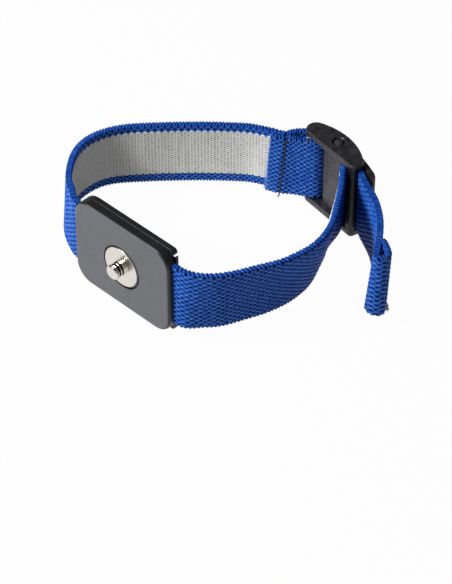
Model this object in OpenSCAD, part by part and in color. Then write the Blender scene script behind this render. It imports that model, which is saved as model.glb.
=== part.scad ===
// Adjustable grounding wrist strap: an elastic band with a conductive lining, a two-part housing
// that carries a 4 mm press stud, and a cam buckle. It stands on its lower edge.
// X runs along the housing, -Y points out of the press stud, Z is up along the band's width.

/* [Band] */
// Width of the elastic band
band_w = 18; // [14:0.5:24]
// Thickness of the band with its lining
band_t = 1.6; // [1.3:0.1:2]
// Bare band above the lining
lining_margin_top = 1.9; // [1:0.1:3]
// Bare band below the lining
lining_margin_bottom = 2.5; // [1:0.1:3]
// Thickness of the conductive lining
lining_t = 0.5; // [0.3:0.05:0.7]
// Gap between the two layers of the sewn loop
layer_gap = 0.15; // [0.05:0.05:0.5]

/* [Loop] */
// Length of the wrist opening, along X
loop_l = 64; // [58:1:76]
// Width of the wrist opening, along Y
loop_w = 57; // [52:1:66]

/* [Housing] */
// Length of the housing
housing_l = 31.5; // [27:0.5:36]
// Plastic above and below the band
housing_side = 3.25; // [3:0.05:4.5]
// Plastic in front of the band
face_wall = 1.5; // [1.3:0.1:2.5]
// Plastic behind the band
back_wall = 1; // [0.8:0.1:2]
// Depth of the band's slot in the rear half
back_slot = 0.6; // [0.4:0.05:0.8]
// Free play of the band in its slot, on each face
slot_gap = 0.05; // [0.05:0.05:0.2]
// Corner radius of the housing
housing_r = 4.8; // [3:0.1:6.5]
// Rounding of the cover's front edge
cover_edge = 0.8; // [0.3:0.1:1]
// Corner radius of the rear half at its right end
rear_r = 1; // [0.6:0.1:1.2]
// How much shorter the rear half is at that end
rear_inset = 0.8; // [0.4:0.1:1]
// Length of the notch above the band at that end
notch_l = 1.5; // [0.8:0.1:2]
// Height of that notch
notch_h = 2; // [1.6:0.1:2]
// How far the slot's lip reaches out of the rear half
lip_l = 0.35; // [0.2:0.05:1]
// Diameter of the locating pegs
peg_d = 1.6; // [1.2:0.1:1.8]

/* [Press stud] */
// Diameter of the stud's head, the standard 4 mm snap
stud_d = 3.9; // [3.8:0.05:4]
// Height of the cylindrical wall of the head
stud_wall = 0.9; // [0.7:0.1:1.2]
// Diameter of the stud's neck
neck_d = 3.1; // [2.8:0.1:3.4]
// Height of the stud above its flange
stud_h = 3; // [2.9:0.1:4]
// Diameter of the flange disc
flange_d = 10.6; // [9:0.1:11.4]
// Thickness of the flange disc
flange_t = 0.55; // [0.4:0.05:0.7]
// How far the flange stands out of the cover's face
flange_rise = 0.1; // [0:0.05:0.2]
// Gap round the flange in its recess
recess_gap = 0.6; // [0.3:0.05:1]
// Share of that gap by which the recess lies to the stud's right
recess_shift = 0.3; // [0:0.1:0.8]
// Diameter of the rivet's shank
shank_d = 2.2; // [1.8:0.1:2.4]
// Diameter of the rivet's rear head
rivet_head_d = 4.4; // [3.6:0.1:6]
// Diameter of the skin-side contact disc
contact_d = 10.6; // [8:0.1:14]
// Thickness of the skin-side contact disc
contact_t = 0.5; // [0.4:0.1:1]

/* [Buckle] */
// Length of the buckle's cheeks
buckle_l = 19.9; // [19:0.1:21]
// Thickness of each cheek
cheek_t = 1.65; // [1.4:0.05:2.2]
// Gap between the band's edge and a cheek
cheek_gap = 0.35; // [0.3:0.05:1]
// Radius of the cheeks' outer arc
cheek_arc_r = 18; // [16:0.5:22]
// Height of the outer arc above the wrist face
cheek_h = 6.6; // [6.4:0.1:7]
// Diameter of the back bar, which the sewn loop holds
back_bar_d = 2.4; // [2:0.1:2.6]
// Diameter of the front bar, which the strap turns over
front_bar_d = 2; // [1.8:0.1:2.2]
// Free play of the strap round a bar
bar_play = 0.1; // [0.05:0.05:0.2]

/* [Cam lever] */
// Diameter of the lever's pivot stubs
pivot_d = 3; // [2.4:0.1:3.2]
// Radial running clearance of the stubs in the cheeks
pivot_play = 0.05; // [0.03:0.01:0.08]
// Gap between the lever and each cheek
lever_gap = 0.15; // [0.1:0.05:0.3]
// Reach of the lever's tip from its pivot
lever_reach = 14.4; // [13:0.1:17]
// Thickness of the lever's plate
lever_t = 1.4; // [1.2:0.1:1.5]
// Radius of the toothed nose about the pivot
nose_r = 4.4; // [4:0.05:4.45]
// Number of teeth on the nose
teeth = 4; // [3:1:6]
// Depth of the teeth
tooth_depth = 0.35; // [0.2:0.05:0.45]

/* [Hidden] */
$fn = 64;
eps = 0.01;

blue = "#2E55B8";
lining_grey = "#BDBBB4";
slate = "#6F7075";
soot = "#1D1E21";
nickel = "#D4D1CA";
thread_black = "#121214";

// The route's knots are drawn for this opening and stretch with it
drawn_l = 64;
drawn_w = 57;

// Housing, seen from its front face inward
housing_h = band_w + 2 * housing_side;
slot_t = band_t + 2 * slot_gap;
cover_t = face_wall + slot_t - back_slot;
housing_t = face_wall + slot_t + back_wall;
stud_x = -6.9 * loop_l / drawn_l;
face_y = -30.6 * loop_w / drawn_w;
band_y = face_y + face_wall + slot_t / 2;
stud_z = housing_h / 2;
slot_w = band_w + 2 * slot_gap;

// Buckle, in its own axes: along its length, outward from the wrist, up
buckle_at = [6 * loop_l / drawn_l, 26.8 * loop_w / drawn_w];
buckle_yaw = -12.9;
buckle_h = band_w + 2 * (cheek_gap + cheek_t);
pivot = [-1.05, 3.5];
cheek_mid = -0.75;
cheek_x0 = cheek_mid - buckle_l / 2;
cheek_x1 = cheek_mid + buckle_l / 2;
back_bar_inset = 2.45;
front_bar_inset = 1.05;
back_bar = [cheek_x0 + back_bar_inset, 1.8];
front_bar = [cheek_x1 - front_bar_inset, 1.5];
loop_turn_r = (back_bar_d + band_t) / 2 + bar_play;
strap_turn_r = (front_bar_d + band_t) / 2 + bar_play;

// --- Route of the band -------------------------------------------------------------------------
// A knot is [x, y, heading, lean, height of the band's middle]; a positive lean brings the lower
// edge in towards the wrist. The band runs anticlockwise seen from above.
function turned(p, a) = [p[0] * cos(a) - p[1] * sin(a), p[0] * sin(a) + p[1] * cos(a)];
function left_of(heading) = [-sin(heading), cos(heading)];
function on_loop(x, y, heading, lean, z) =
    [x * loop_l / drawn_l, y * loop_w / drawn_w, heading, lean, z];
function on_buckle(p, heading, lean = 0) =
    let (q = buckle_at + turned(p, buckle_yaw))
    [q[0], q[1], heading + buckle_yaw, lean, buckle_h / 2];
// Knot on a turn round a bar, side 1 anticlockwise and -1 clockwise
function round_bar(bar, r, heading, side) = on_buckle(bar - side * r * left_of(heading), heading);
// Knot a step to the left of another, running the other way
function laid_on(p, heading, step) = on_buckle(p + step * left_of(heading), heading - 180);

stitch_at = [-13.5, -4.1];
stitch_heading = 237;
flap_at = [-16.1, -6];
flap_heading = 219;
layer_step = band_t + layer_gap;

flap_knots = [laid_on(flap_at, flap_heading, layer_step),
    laid_on(stitch_at, stitch_heading, layer_step),
    on_buckle([-9.7, -1.8 - loop_turn_r / 4], 42)];
loop_knots = [for (heading = [48, 110, 172, 234]) round_bar(back_bar, loop_turn_r, heading, 1)];
start_knots = [on_buckle([-12.2, -0.5], 243), on_buckle(stitch_at, stitch_heading),
    on_buckle(flap_at, flap_heading)];
back_knots = [
    on_loop(-17, 21.1, 220, 0, 0.1), on_loop(-25.6, 12.8, 225, 0, 0.35),
    on_loop(-34.9, 2.3, 229, 0, 0.6), on_loop(-40, -7.5, 261, -3, 0.8),
    on_loop(-36.7, -19.3, 308, -5, 0.95), on_loop(-29.2, -25.9, 334, -3, 1)];
housing_knots = [for (side = [-1, 1]) [stud_x + side * (housing_l / 2 + 1), band_y, 0, 0, housing_h / 2]];
front_knots = [
    on_loop(15.8, -24.6, 44, 7, 0.95), on_loop(21, -14.9, 66, 9, 0.8),
    on_loop(23.6, -7, 80, 11.5, 0.65), on_loop(23.9, 0.6, 96, 13.5, 0.5),
    on_loop(21.4, 8.5, 116, 14, 0.35), on_loop(17.4, 15.4, 122, 11, 0.2)];
entry_knots = [on_buckle([6.65, -0.75], 139, 2), on_buckle([4.35, 2], 90), on_buckle([5.8, 3.2], 0)];
turn_knots = [for (heading = [0, -27]) round_bar(front_bar, strap_turn_r, heading, -1)];
tail_knots = [
    on_buckle([20.8, -0.7], -24, -1), on_buckle([25.8, -3.5], -33, -2),
    on_buckle([30.6, -7.5], -41, -4), on_buckle([34.5, -11.2], -41, -5),
    on_buckle([37.1, -11], 57, -1), on_buckle([36.7, -8.9], 140, 2), on_buckle([33.7, -7.3], 162, 1)];

// Free knots carry their height as a share of the way from the buckle's middle to the housing's
function with_height(knots) =
    [for (k = knots) [k[0], k[1], k[2], k[3], buckle_h / 2 + k[4] * (housing_h - buckle_h) / 2]];
route = concat(flap_knots, loop_knots, start_knots, with_height(back_knots), housing_knots,
    with_height(front_knots), entry_knots, turn_knots, tail_knots);

// Stations along the smooth curve through the knots
function bend(a, b) = ((b[2] - a[2] + 540) % 360) - 180;
function steps(a, b) = max(2, ceil(abs(bend(a, b)) / 15), ceil(norm([b[0] - a[0], b[1] - a[1]]) / 4));
function aim(a) = [cos(a[2]), sin(a[2])];
function between(a, b, u) =
    let (
        pull = norm([b[0] - a[0], b[1] - a[1]]) / pow(cos(bend(a, b) / 4), 2),
        p = (2 * pow(u, 3) - 3 * u * u + 1) * [a[0], a[1]] + (pow(u, 3) - 2 * u * u + u) * pull * aim(a)
            + (3 * u * u - 2 * pow(u, 3)) * [b[0], b[1]] + (pow(u, 3) - u * u) * pull * aim(b),
        d = (6 * u * u - 6 * u) * ([a[0], a[1]] - [b[0], b[1]])
            + (3 * u * u - 4 * u + 1) * pull * aim(a) + (3 * u * u - 2 * u) * pull * aim(b),
        share = u * u * (3 - 2 * u))
    [p[0], p[1], atan2(d[1], d[0]), a[3] + (b[3] - a[3]) * share, a[4] + (b[4] - a[4]) * share];
stations = concat(
    [for (i = [0 : len(route) - 2]) for (j = [0 : steps(route[i], route[i + 1]) - 1])
        between(route[i], route[i + 1], j / steps(route[i], route[i + 1]))],
    [route[len(route) - 1]]);

// A section is a list of [distance towards the wrist, height] from the band's middle
function ring(station, section) =
    let (side = left_of(station[2]), lean = station[3])
    [for (q = section)
        let (across = q[0] * cos(lean) - q[1] * sin(lean), up = q[0] * sin(lean) + q[1] * cos(lean))
        [station[0] + side[0] * across, station[1] + side[1] * across, station[4] + up]];

// The higher of a face's two edges, or the one nearer the wrist, starts its diagonals. Two solids
// that share a twisted face then share its triangles too.
function leads(p, q) = p[1] > q[1] || (p[1] == q[1] && p[0] > q[0]);

// Solid swept along the stations; caps lists the triangles of its end face
module swept(section, caps) {
    n = len(section);
    rings = len(stations);
    points = [for (s = stations) each ring(s, section)];
    walls = [for (i = [0 : rings - 2]) for (j = [0 : n - 1])
        let (k = (j + 1) % n, a = i * n + j, b = i * n + k, c = a + n, d = b + n)
        each leads(section[j], section[k]) ? [[a, b, d], [a, d, c]] : [[a, b, c], [b, d, c]]];
    near = [for (c = caps) [c[2], c[1], c[0]]];
    far = [for (c = caps) [for (v = c) v + (rings - 1) * n]];
    polyhedron(points, concat(walls, near, far), convexity = 10);
}

// --- Band ----------------------------------------------------------------------------------------
lining_top = band_w / 2 - lining_margin_top;
lining_bottom = lining_margin_bottom - band_w / 2;
lining_y = band_t / 2 - lining_t;
band_section = [[-band_t / 2, -band_w / 2], [-band_t / 2, band_w / 2], [band_t / 2, band_w / 2],
    [band_t / 2, lining_top], [lining_y, lining_top], [lining_y, lining_bottom],
    [band_t / 2, lining_bottom], [band_t / 2, -band_w / 2]];
lining_section = [[lining_y, lining_bottom], [lining_y, lining_top],
    [band_t / 2, lining_top], [band_t / 2, lining_bottom]];

module shank_hole(play) {
    translate([stud_x, face_y - stud_h, stud_z]) rotate([-90, 0, 0])
        cylinder(d = shank_d + 2 * play, h = 2 * stud_h + housing_t);
}
shank_play = 0.05;

module elastic_band() {
    color(blue) difference() {
        swept(band_section, [[1, 2, 3], [1, 3, 4], [0, 1, 4], [0, 4, 5], [0, 5, 6], [0, 6, 7]]);
        shank_hole(shank_play);
    }
}

module conductive_lining() {
    color(lining_grey) difference() {
        swept(lining_section, [[0, 1, 2], [0, 2, 3]]);
        shank_hole(shank_play);
    }
}

// --- Stitching -----------------------------------------------------------------------------------
thread_d = 0.35;
stitch_pitch = 2.2;
stitch_l = 1.5;

// A row of stitches across the band at a knot: runs on both faces, thread through at each end
module stitch_row(at, z_mid, depth) {
    count = floor((band_w - 2) / stitch_pitch);
    for (i = [0 : count - 1])
        translate([at[0], at[1], z_mid + (i - (count - 1) / 2) * stitch_pitch]) rotate([0, 0, at[2]])
            for (side = [-1, 1]) {
                translate([0, side * (depth + thread_d) / 2, -stitch_l / 2])
                    cylinder(d = thread_d, h = stitch_l, $fn = 16);
                translate([0, 0, side * (stitch_l - thread_d) / 2]) rotate([90, 0, 0])
                    cylinder(d = thread_d, h = depth + 1.5 * thread_d, center = true, $fn = 16);
            }
}

// The row's middle lies half a layer step to the left of the layer nearer the start
function middle_of(knot, shift) =
    let (n = left_of(knot[2])) [knot[0] + shift * n[0], knot[1] + shift * n[1], knot[2]];

module loop_stitching() {
    color(thread_black)
        stitch_row(middle_of(on_buckle(stitch_at, stitch_heading), layer_step / 2),
            buckle_h / 2, layer_step + band_t);
}

// Thread through the folded tail end, near its flap's edge
module tail_stitching() {
    last = route[len(route) - 1];
    knot = between(route[len(route) - 2], last, 0.5);
    step = 2.65;
    color(thread_black) stitch_row(middle_of(knot, step / 2), buckle_h / 2, step + band_t);
}

// --- Housing -------------------------------------------------------------------------------------
// Rounded plate in the housing's outline, from depth y0 to y1 behind the cover's face; its right
// end can be shorter, with corners of its own
module housing_plate(inset, y0, y1, end_r = housing_r, end_inset = 0) {
    r0 = housing_r - inset;
    r1 = end_r - inset;
    x0 = inset - housing_l / 2;
    x1 = housing_l / 2 - end_inset - inset;
    h = housing_h - 2 * inset;
    translate([stud_x, face_y + y1, stud_z]) rotate([90, 0, 0]) linear_extrude(y1 - y0) {
        translate([x0 + r0, -h / 2]) square([x1 - r1 - x0 - r0, h]);
        translate([x0, r0 - h / 2]) square([r0 + eps, h - 2 * r0]);
        translate([x1 - r1 - eps, r1 - h / 2]) square([r1 + eps, h - 2 * r1]);
        for (sz = [-1, 1]) {
            translate([x0 + r0, sz * (h / 2 - r0)]) circle(r0);
            translate([x1 - r1, sz * (h / 2 - r1)]) circle(r1);
        }
    }
}

// The band's slot through the housing, from depth y0 to y1
module band_slot(y0, y1) {
    through = housing_l + 2 * lip_l + 2;
    translate([stud_x - through / 2, face_y + y0, stud_z - slot_w / 2])
        cube([through, y1 - y0, slot_w]);
}

// Round bar along Y about the stud's axis, from depth y0 to y1 behind the cover's face
module along_stud(r, y0, y1) {
    translate([stud_x, face_y + y0, stud_z]) rotate([-90, 0, 0]) cylinder(r = r, h = y1 - y0);
}

peg_inset = housing_side / 2 + 0.1;
peg_play = 0.05;
module pegs(play, y0, y1) {
    for (sx = [-1, 1], sz = [-1, 1])
        translate([stud_x + sx * (housing_l / 2 - housing_r - peg_inset), face_y + y0,
                stud_z + sz * (housing_h / 2 - peg_inset)])
            rotate([-90, 0, 0]) cylinder(d = peg_d + 2 * play, h = y1 - y0);
}
peg_l = face_wall * 0.8;

recess_depth = flange_t - flange_rise;
module housing_cover() {
    color(slate) difference() {
        union() {
            housing_plate(0, cover_edge, cover_t);
            hull() for (i = [0 : 4])
                let (a = 90 * i / 4, inset = cover_edge * (1 - sin(a)), depth = cover_edge * (1 - cos(a)))
                housing_plate(inset, depth, cover_edge + eps, $fn = 32);
        }
        band_slot(face_wall, cover_t + 1);
        translate([recess_shift * recess_gap, 0, 0])
            along_stud(flange_d / 2 + recess_gap, -1, recess_depth);
        along_stud(shank_d / 2 + shank_play, recess_depth - eps, face_wall + eps);
        pegs(peg_play, cover_t - peg_l - peg_play, cover_t + 1);
    }
}

back_edge = 0.4;
module housing_back() {
    color(soot) {
        difference() {
            union() {
                housing_plate(0, cover_t, housing_t - back_edge, rear_r, rear_inset);
                housing_plate(back_edge, housing_t - back_edge - eps, housing_t, rear_r, rear_inset);
            }
            band_slot(cover_t - 1, face_wall + slot_t);
            mouth_notch();
            along_stud(shank_d / 2 + shank_play, 0, housing_t + 1);
        }
        pegs(0, cover_t - peg_l, cover_t + eps);
        slot_lip();
    }
}

// Opening above the band at the rear half's right end
rear_end = stud_x + housing_l / 2 - rear_inset;
module mouth_notch() {
    translate([rear_end - notch_l, face_y + cover_t - 1, stud_z + slot_w / 2 - eps])
        cube([notch_l + 1, housing_t - cover_t + 2, notch_h]);
}

// Lip behind the band at that end, with a slanted tooth that stands in the notch
lip_root = 3;
lip_inset = 0.3;
tooth_w = 0.5;
tooth_rise = 1.5;
module slot_lip() {
    low = stud_z - slot_w / 2;
    high = stud_z + slot_w / 2;
    rear = housing_t - back_edge / 2;
    translate([0, face_y + rear, 0]) rotate([90, 0, 0])
        linear_extrude(rear - face_wall - slot_t)
            polygon([[rear_end - lip_root, low], [rear_end + lip_l, low],
                [rear_end + lip_l, high + tooth_rise], [rear_end - tooth_w, high + tooth_rise / 2],
                [rear_end - notch_l / 2, high - lip_inset], [rear_end - lip_root, high - lip_inset]]);
}

// --- Press stud ----------------------------------------------------------------------------------
module stud_flange() {
    color(nickel) difference() {
        along_stud(flange_d / 2, -flange_rise, recess_depth);
        along_stud(shank_d / 2 + shank_play, -flange_rise - 1, recess_depth + 1);
    }
}

// The rivet's shank goes into the stud's foot and ends short of the bottom of its hole
collar_d = stud_d + 0.6;
clinch_depth = 1.4;
clinch_end = 0.2;
module snap_stud() {
    head_r = stud_d / 2;
    neck_r = neck_d / 2;
    wall_top = stud_h - 0.6;
    wall_foot = wall_top - stud_wall;
    color(nickel) translate([stud_x, face_y - flange_rise, stud_z]) rotate([90, 0, 0])
        difference() {
            rotate_extrude()
                polygon([[0, 0], [collar_d / 2, 0], [collar_d / 2, 0.35], [neck_r + 0.2, 0.5],
                    [neck_r + 0.2, 0.6], [head_r, 0.65], [head_r, 0.95], [neck_r, 1.05],
                    [neck_r, wall_foot - 0.15], [head_r, wall_foot], [head_r, wall_top],
                    [head_r - 0.12, wall_top + 0.28], [head_r - 0.4, wall_top + 0.48],
                    [head_r - 0.85, stud_h - 0.03], [0, stud_h]]);
            translate([0, 0, -1]) cylinder(d = shank_d + 2 * shank_play, h = 1 + clinch_depth);
        }
}

// Shank clinched in the stud; its head holds the contact disc against the skin side
module rivet() {
    head_h = 0.45;
    color(nickel) {
        along_stud(shank_d / 2, clinch_end - flange_rise - clinch_depth, housing_t + contact_t + eps);
        translate([stud_x, face_y + housing_t + contact_t, stud_z]) rotate([-90, 0, 0])
            rotate_extrude()
                polygon([[0, 0], [rivet_head_d / 2, 0], [rivet_head_d / 2 - 0.1, 0.2],
                    [rivet_head_d / 2 - 0.5, head_h - 0.07], [rivet_head_d / 4, head_h], [0, head_h]]);
    }
}

module contact_disc() {
    dish = 0.15;
    color(nickel) translate([stud_x, face_y + housing_t, stud_z]) rotate([-90, 0, 0]) difference() {
        rotate_extrude()
            polygon([[0, 0], [contact_d / 2, 0], [contact_d / 2, contact_t - dish],
                [contact_d / 2 - dish, contact_t], [0, contact_t]]);
        translate([0, 0, -1]) cylinder(d = shank_d + 2 * shank_play, h = contact_t + 2);
    }
}

// --- Buckle --------------------------------------------------------------------------------------
// Points along an arc, from angle a0 to a1
function arc(c, r, a0, a1, n) =
    [for (i = [0 : n]) let (a = a0 + (a1 - a0) * i / n) c + r * [cos(a), sin(a)]];

module at_buckle(z = 0) {
    translate([buckle_at[0], buckle_at[1], z]) rotate([0, 0, buckle_yaw]) children();
}

// Side view of a cheek: round ends, one long outer arc, and a wrist face that rises to the front
back_end_r = 2.55;
front_end_r = 2.1;
foot_r = 1;
heel_drop = 0.6;
toe_rise = 0.55;
module cheek_outline() {
    arc_c = [-0.35, cheek_h - cheek_arc_r];
    back_c = [cheek_x0 + back_end_r, back_end_r - heel_drop];
    front_c = [cheek_x1 - front_end_r, front_end_r + toe_rise];
    foot_c = [cheek_x1 - foot_r, foot_r + toe_rise];
    run = foot_c - back_c;
    slant = atan2(run[1], run[0]) + asin((back_end_r - foot_r) / norm(run));
    from_back = atan2(back_c[1] - arc_c[1], back_c[0] - arc_c[0]);
    from_front = atan2(front_c[1] - arc_c[1], front_c[0] - arc_c[0]);
    polygon(concat(
        arc(foot_c, foot_r, slant - 90, 0, 6),
        arc(front_c, front_end_r, 0, from_front, 8),
        arc(arc_c, cheek_arc_r, from_front, from_back, 20),
        arc(back_c, back_end_r, from_back, slant + 270, 16)));
}

// Front bar with a rib towards the strap's entry
rib_d = 1;
rib_at = [-1.05, -0.4];
module front_bar_outline() {
    translate(front_bar) {
        circle(d = front_bar_d);
        rotate(atan2(rib_at[1], rib_at[0])) translate([0, -rib_d / 2]) square([norm(rib_at), rib_d]);
        translate(rib_at) circle(d = rib_d);
    }
}

module buckle_frame() {
    color(soot) at_buckle() {
        for (z = [0, buckle_h - cheek_t]) translate([0, 0, z]) difference() {
            linear_extrude(cheek_t) cheek_outline();
            translate([pivot[0], pivot[1], -1]) cylinder(r = pivot_d / 2 + pivot_play, h = cheek_t + 2);
        }
        translate([back_bar[0], back_bar[1], cheek_t / 2])
            cylinder(d = back_bar_d, h = buckle_h - cheek_t);
        translate([0, 0, cheek_t / 2]) linear_extrude(buckle_h - cheek_t) front_bar_outline();
    }
}

// --- Cam lever -----------------------------------------------------------------------------------
hub_r = 2.3;
heel_x0 = -2.6;
heel_x1 = 3;
back_rise = 3.1;
module cam_outline() {
    tip = [lever_reach, 1.1];
    tooth_step = 26 / teeth;
    nose = [for (i = [0 : teeth - 1]) each [
        (nose_r - tooth_depth) * [cos(tooth_step * i - 30), sin(tooth_step * i - 30)],
        nose_r * [cos(tooth_step * (i + 0.5) - 30), sin(tooth_step * (i + 0.5) - 30)]]];
    top = [for (p = [[12.9, 1.6], [10.3, 2.1], [7.2, 2.55], [2, back_rise], [0, back_rise]])
        [p[0] > 3 ? p[0] * lever_reach / 14.4 : p[0], p[1]]];
    polygon(concat(
        [[heel_x0, -hub_r], [heel_x1, -hub_r]],
        nose,
        [[nose_r - 0.5, -0.35], [5, 0.5], [7, 2.55 - lever_t], [10.3 * lever_reach / 14.4, 2.1 - lever_t],
            [tip[0] - 1.9, 1.65 - lever_t]],
        arc([tip[0] - 0.6, 0.5], 0.6, -60, 75, 6),
        top,
        arc([0, 0], hub_r, 125, 205, 8),
        [[heel_x0, -hub_r / 2]]));
}

module pivot_stub() {
    chamfer = 0.3;
    rise = cheek_t + lever_gap - 0.15;
    cylinder(d = pivot_d, h = rise - chamfer + eps);
    translate([0, 0, rise - chamfer]) cylinder(d1 = pivot_d, d2 = pivot_d - 2 * chamfer, h = chamfer);
}

module cam_lever() {
    lever_w = buckle_h - 2 * (cheek_t + lever_gap);
    color(soot) at_buckle(buckle_h / 2) translate([pivot[0], pivot[1], 0]) {
        translate([0, 0, -lever_w / 2]) linear_extrude(lever_w) cam_outline();
        for (side = [0, 1]) mirror([0, 0, side]) translate([0, 0, lever_w / 2 - eps]) pivot_stub();
    }
}

elastic_band();
conductive_lining();
loop_stitching();
tail_stitching();
housing_cover();
housing_back();
stud_flange();
snap_stud();
rivet();
contact_disc();
buckle_frame();
cam_lever();
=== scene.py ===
"""Dressed model of an adjustable grounding wrist strap.

A knitted elastic band with a conductive lining runs from a sewn loop on a cam buckle round the
wrist, through a flat housing with a 4 mm press stud, and back to the buckle, where its folded tail
hangs free. Sizes are in millimetres and the meshes in metres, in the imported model's own frame.
"""

import logging
import math
from collections.abc import Callable, Iterable, Sequence
from dataclasses import dataclass, field
from enum import Enum

import bmesh
import bpy
import numpy as np
from mathutils import Matrix, Vector


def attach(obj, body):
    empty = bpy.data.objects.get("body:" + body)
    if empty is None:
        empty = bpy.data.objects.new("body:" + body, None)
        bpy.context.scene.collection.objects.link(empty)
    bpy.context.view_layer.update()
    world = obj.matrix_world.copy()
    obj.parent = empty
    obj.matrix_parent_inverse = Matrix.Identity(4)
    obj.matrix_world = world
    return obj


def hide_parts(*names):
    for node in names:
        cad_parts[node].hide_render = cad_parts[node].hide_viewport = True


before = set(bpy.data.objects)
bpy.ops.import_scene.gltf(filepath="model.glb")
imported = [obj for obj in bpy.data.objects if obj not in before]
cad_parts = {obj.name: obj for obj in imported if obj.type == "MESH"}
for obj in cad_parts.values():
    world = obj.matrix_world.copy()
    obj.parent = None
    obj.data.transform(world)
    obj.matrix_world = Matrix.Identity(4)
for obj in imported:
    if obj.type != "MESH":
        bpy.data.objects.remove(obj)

MM = 0.001
LOG = logging.getLogger("wrist_strap")
Array = np.ndarray
BMesh = bmesh.types.BMesh
Thing = bpy.types.Object
Material = bpy.types.Material
Point = tuple[float, float]
Triple = tuple[float, float, float]
Inputs = dict[str | int, object]


class Body(Enum):
    """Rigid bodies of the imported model."""

    STRAP = "strap"
    LEVER = "lever"


class Slot(Enum):
    """Material slots of the record."""

    KNIT_BAND = "knit_band"
    CONDUCTIVE_KNIT = "conductive_knit"
    THREAD = "thread"
    HOUSING_SLATE = "housing_slate"
    HOUSING_BLACK = "housing_black"
    NICKEL = "nickel"
    BUCKLE_BLACK = "buckle_black"


def linear(*shown: float) -> Triple:
    """Turns a display colour, in numbers from 0 to 255, into the scene's linear one."""
    shares = (value / 255 for value in shown)
    return tuple(s / 12.92 if s <= 0.04045 else ((s + 0.055) / 1.055) ** 2.4 for s in shares)


def smooth(low: float, high: float, value: Array) -> Array:
    """Rises smoothly from 0 at low to 1 at high."""
    share = np.clip((value - low) / (high - low), 0.0, 1.0)
    return share * share * (3.0 - 2.0 * share)


def rotation(degrees: float, axis: str) -> Matrix:
    """Gives a turn about one of the axes."""
    return Matrix.Rotation(math.radians(degrees), 4, axis)


def turned(point: Point, degrees: float) -> Point:
    """Turns a point anticlockwise about the origin."""
    c, s = math.cos(math.radians(degrees)), math.sin(math.radians(degrees))
    return (point[0] * c - point[1] * s, point[0] * s + point[1] * c)


def arc(centre: Point, radius: float, start: float, end: float, steps: int) -> list[Point]:
    """Lists points along an arc, its angles in degrees."""
    turns = (math.radians(start + (end - start) * i / steps) for i in range(steps + 1))
    return [(centre[0] + radius * math.cos(t), centre[1] + radius * math.sin(t)) for t in turns]


# --- Shader nodes ---


def operator(operation: str, swapped: bool = False) -> Callable[..., "Wire"]:
    """Makes a method of a wire that adds a Math node.

    Args:
        operation: The node's operation.
        swapped: Whether the wire is the node's second value.

    Returns:
        The method.
    """

    def apply(wire: "Wire", other: "Wire | float" = 0.0) -> "Wire":
        """Adds the node."""
        first, second = (other, wire) if swapped else (wire, other)
        return wire.maker.add("Math", {0: first, 1: second}, operation=operation)

    return apply


@dataclass(frozen=True)
class Wire:
    """Output socket of a shader node that takes part in Python arithmetic."""

    maker: "NodeMaker"
    socket: bpy.types.NodeSocket

    __add__, __radd__ = operator("ADD"), operator("ADD", True)
    __sub__, __rsub__ = operator("SUBTRACT"), operator("SUBTRACT", True)
    __mul__, __rmul__ = operator("MULTIPLY"), operator("MULTIPLY", True)
    __pow__ = operator("POWER")
    rounded = operator("ROUND")
    bounced = operator("PINGPONG")

    def clipped(self) -> "Wire":
        """Keeps the value between 0 and 1."""
        return self.maker.add("Clamp", {"Value": self})

    def cosine(self, turns: float) -> "Wire":
        """Gives the cosine of a count of turns."""
        return operator("COSINE")(self * (2 * math.pi * turns))

    def ramped(self, low: "Wire | float", high: "Wire | float") -> "Wire":
        """Rises smoothly from 0 at low to 1 at high."""
        inputs = {"Value": self, "From Min": low, "From Max": high}
        return self.maker.add("MapRange", inputs, interpolation_type="SMOOTHSTEP")


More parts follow.
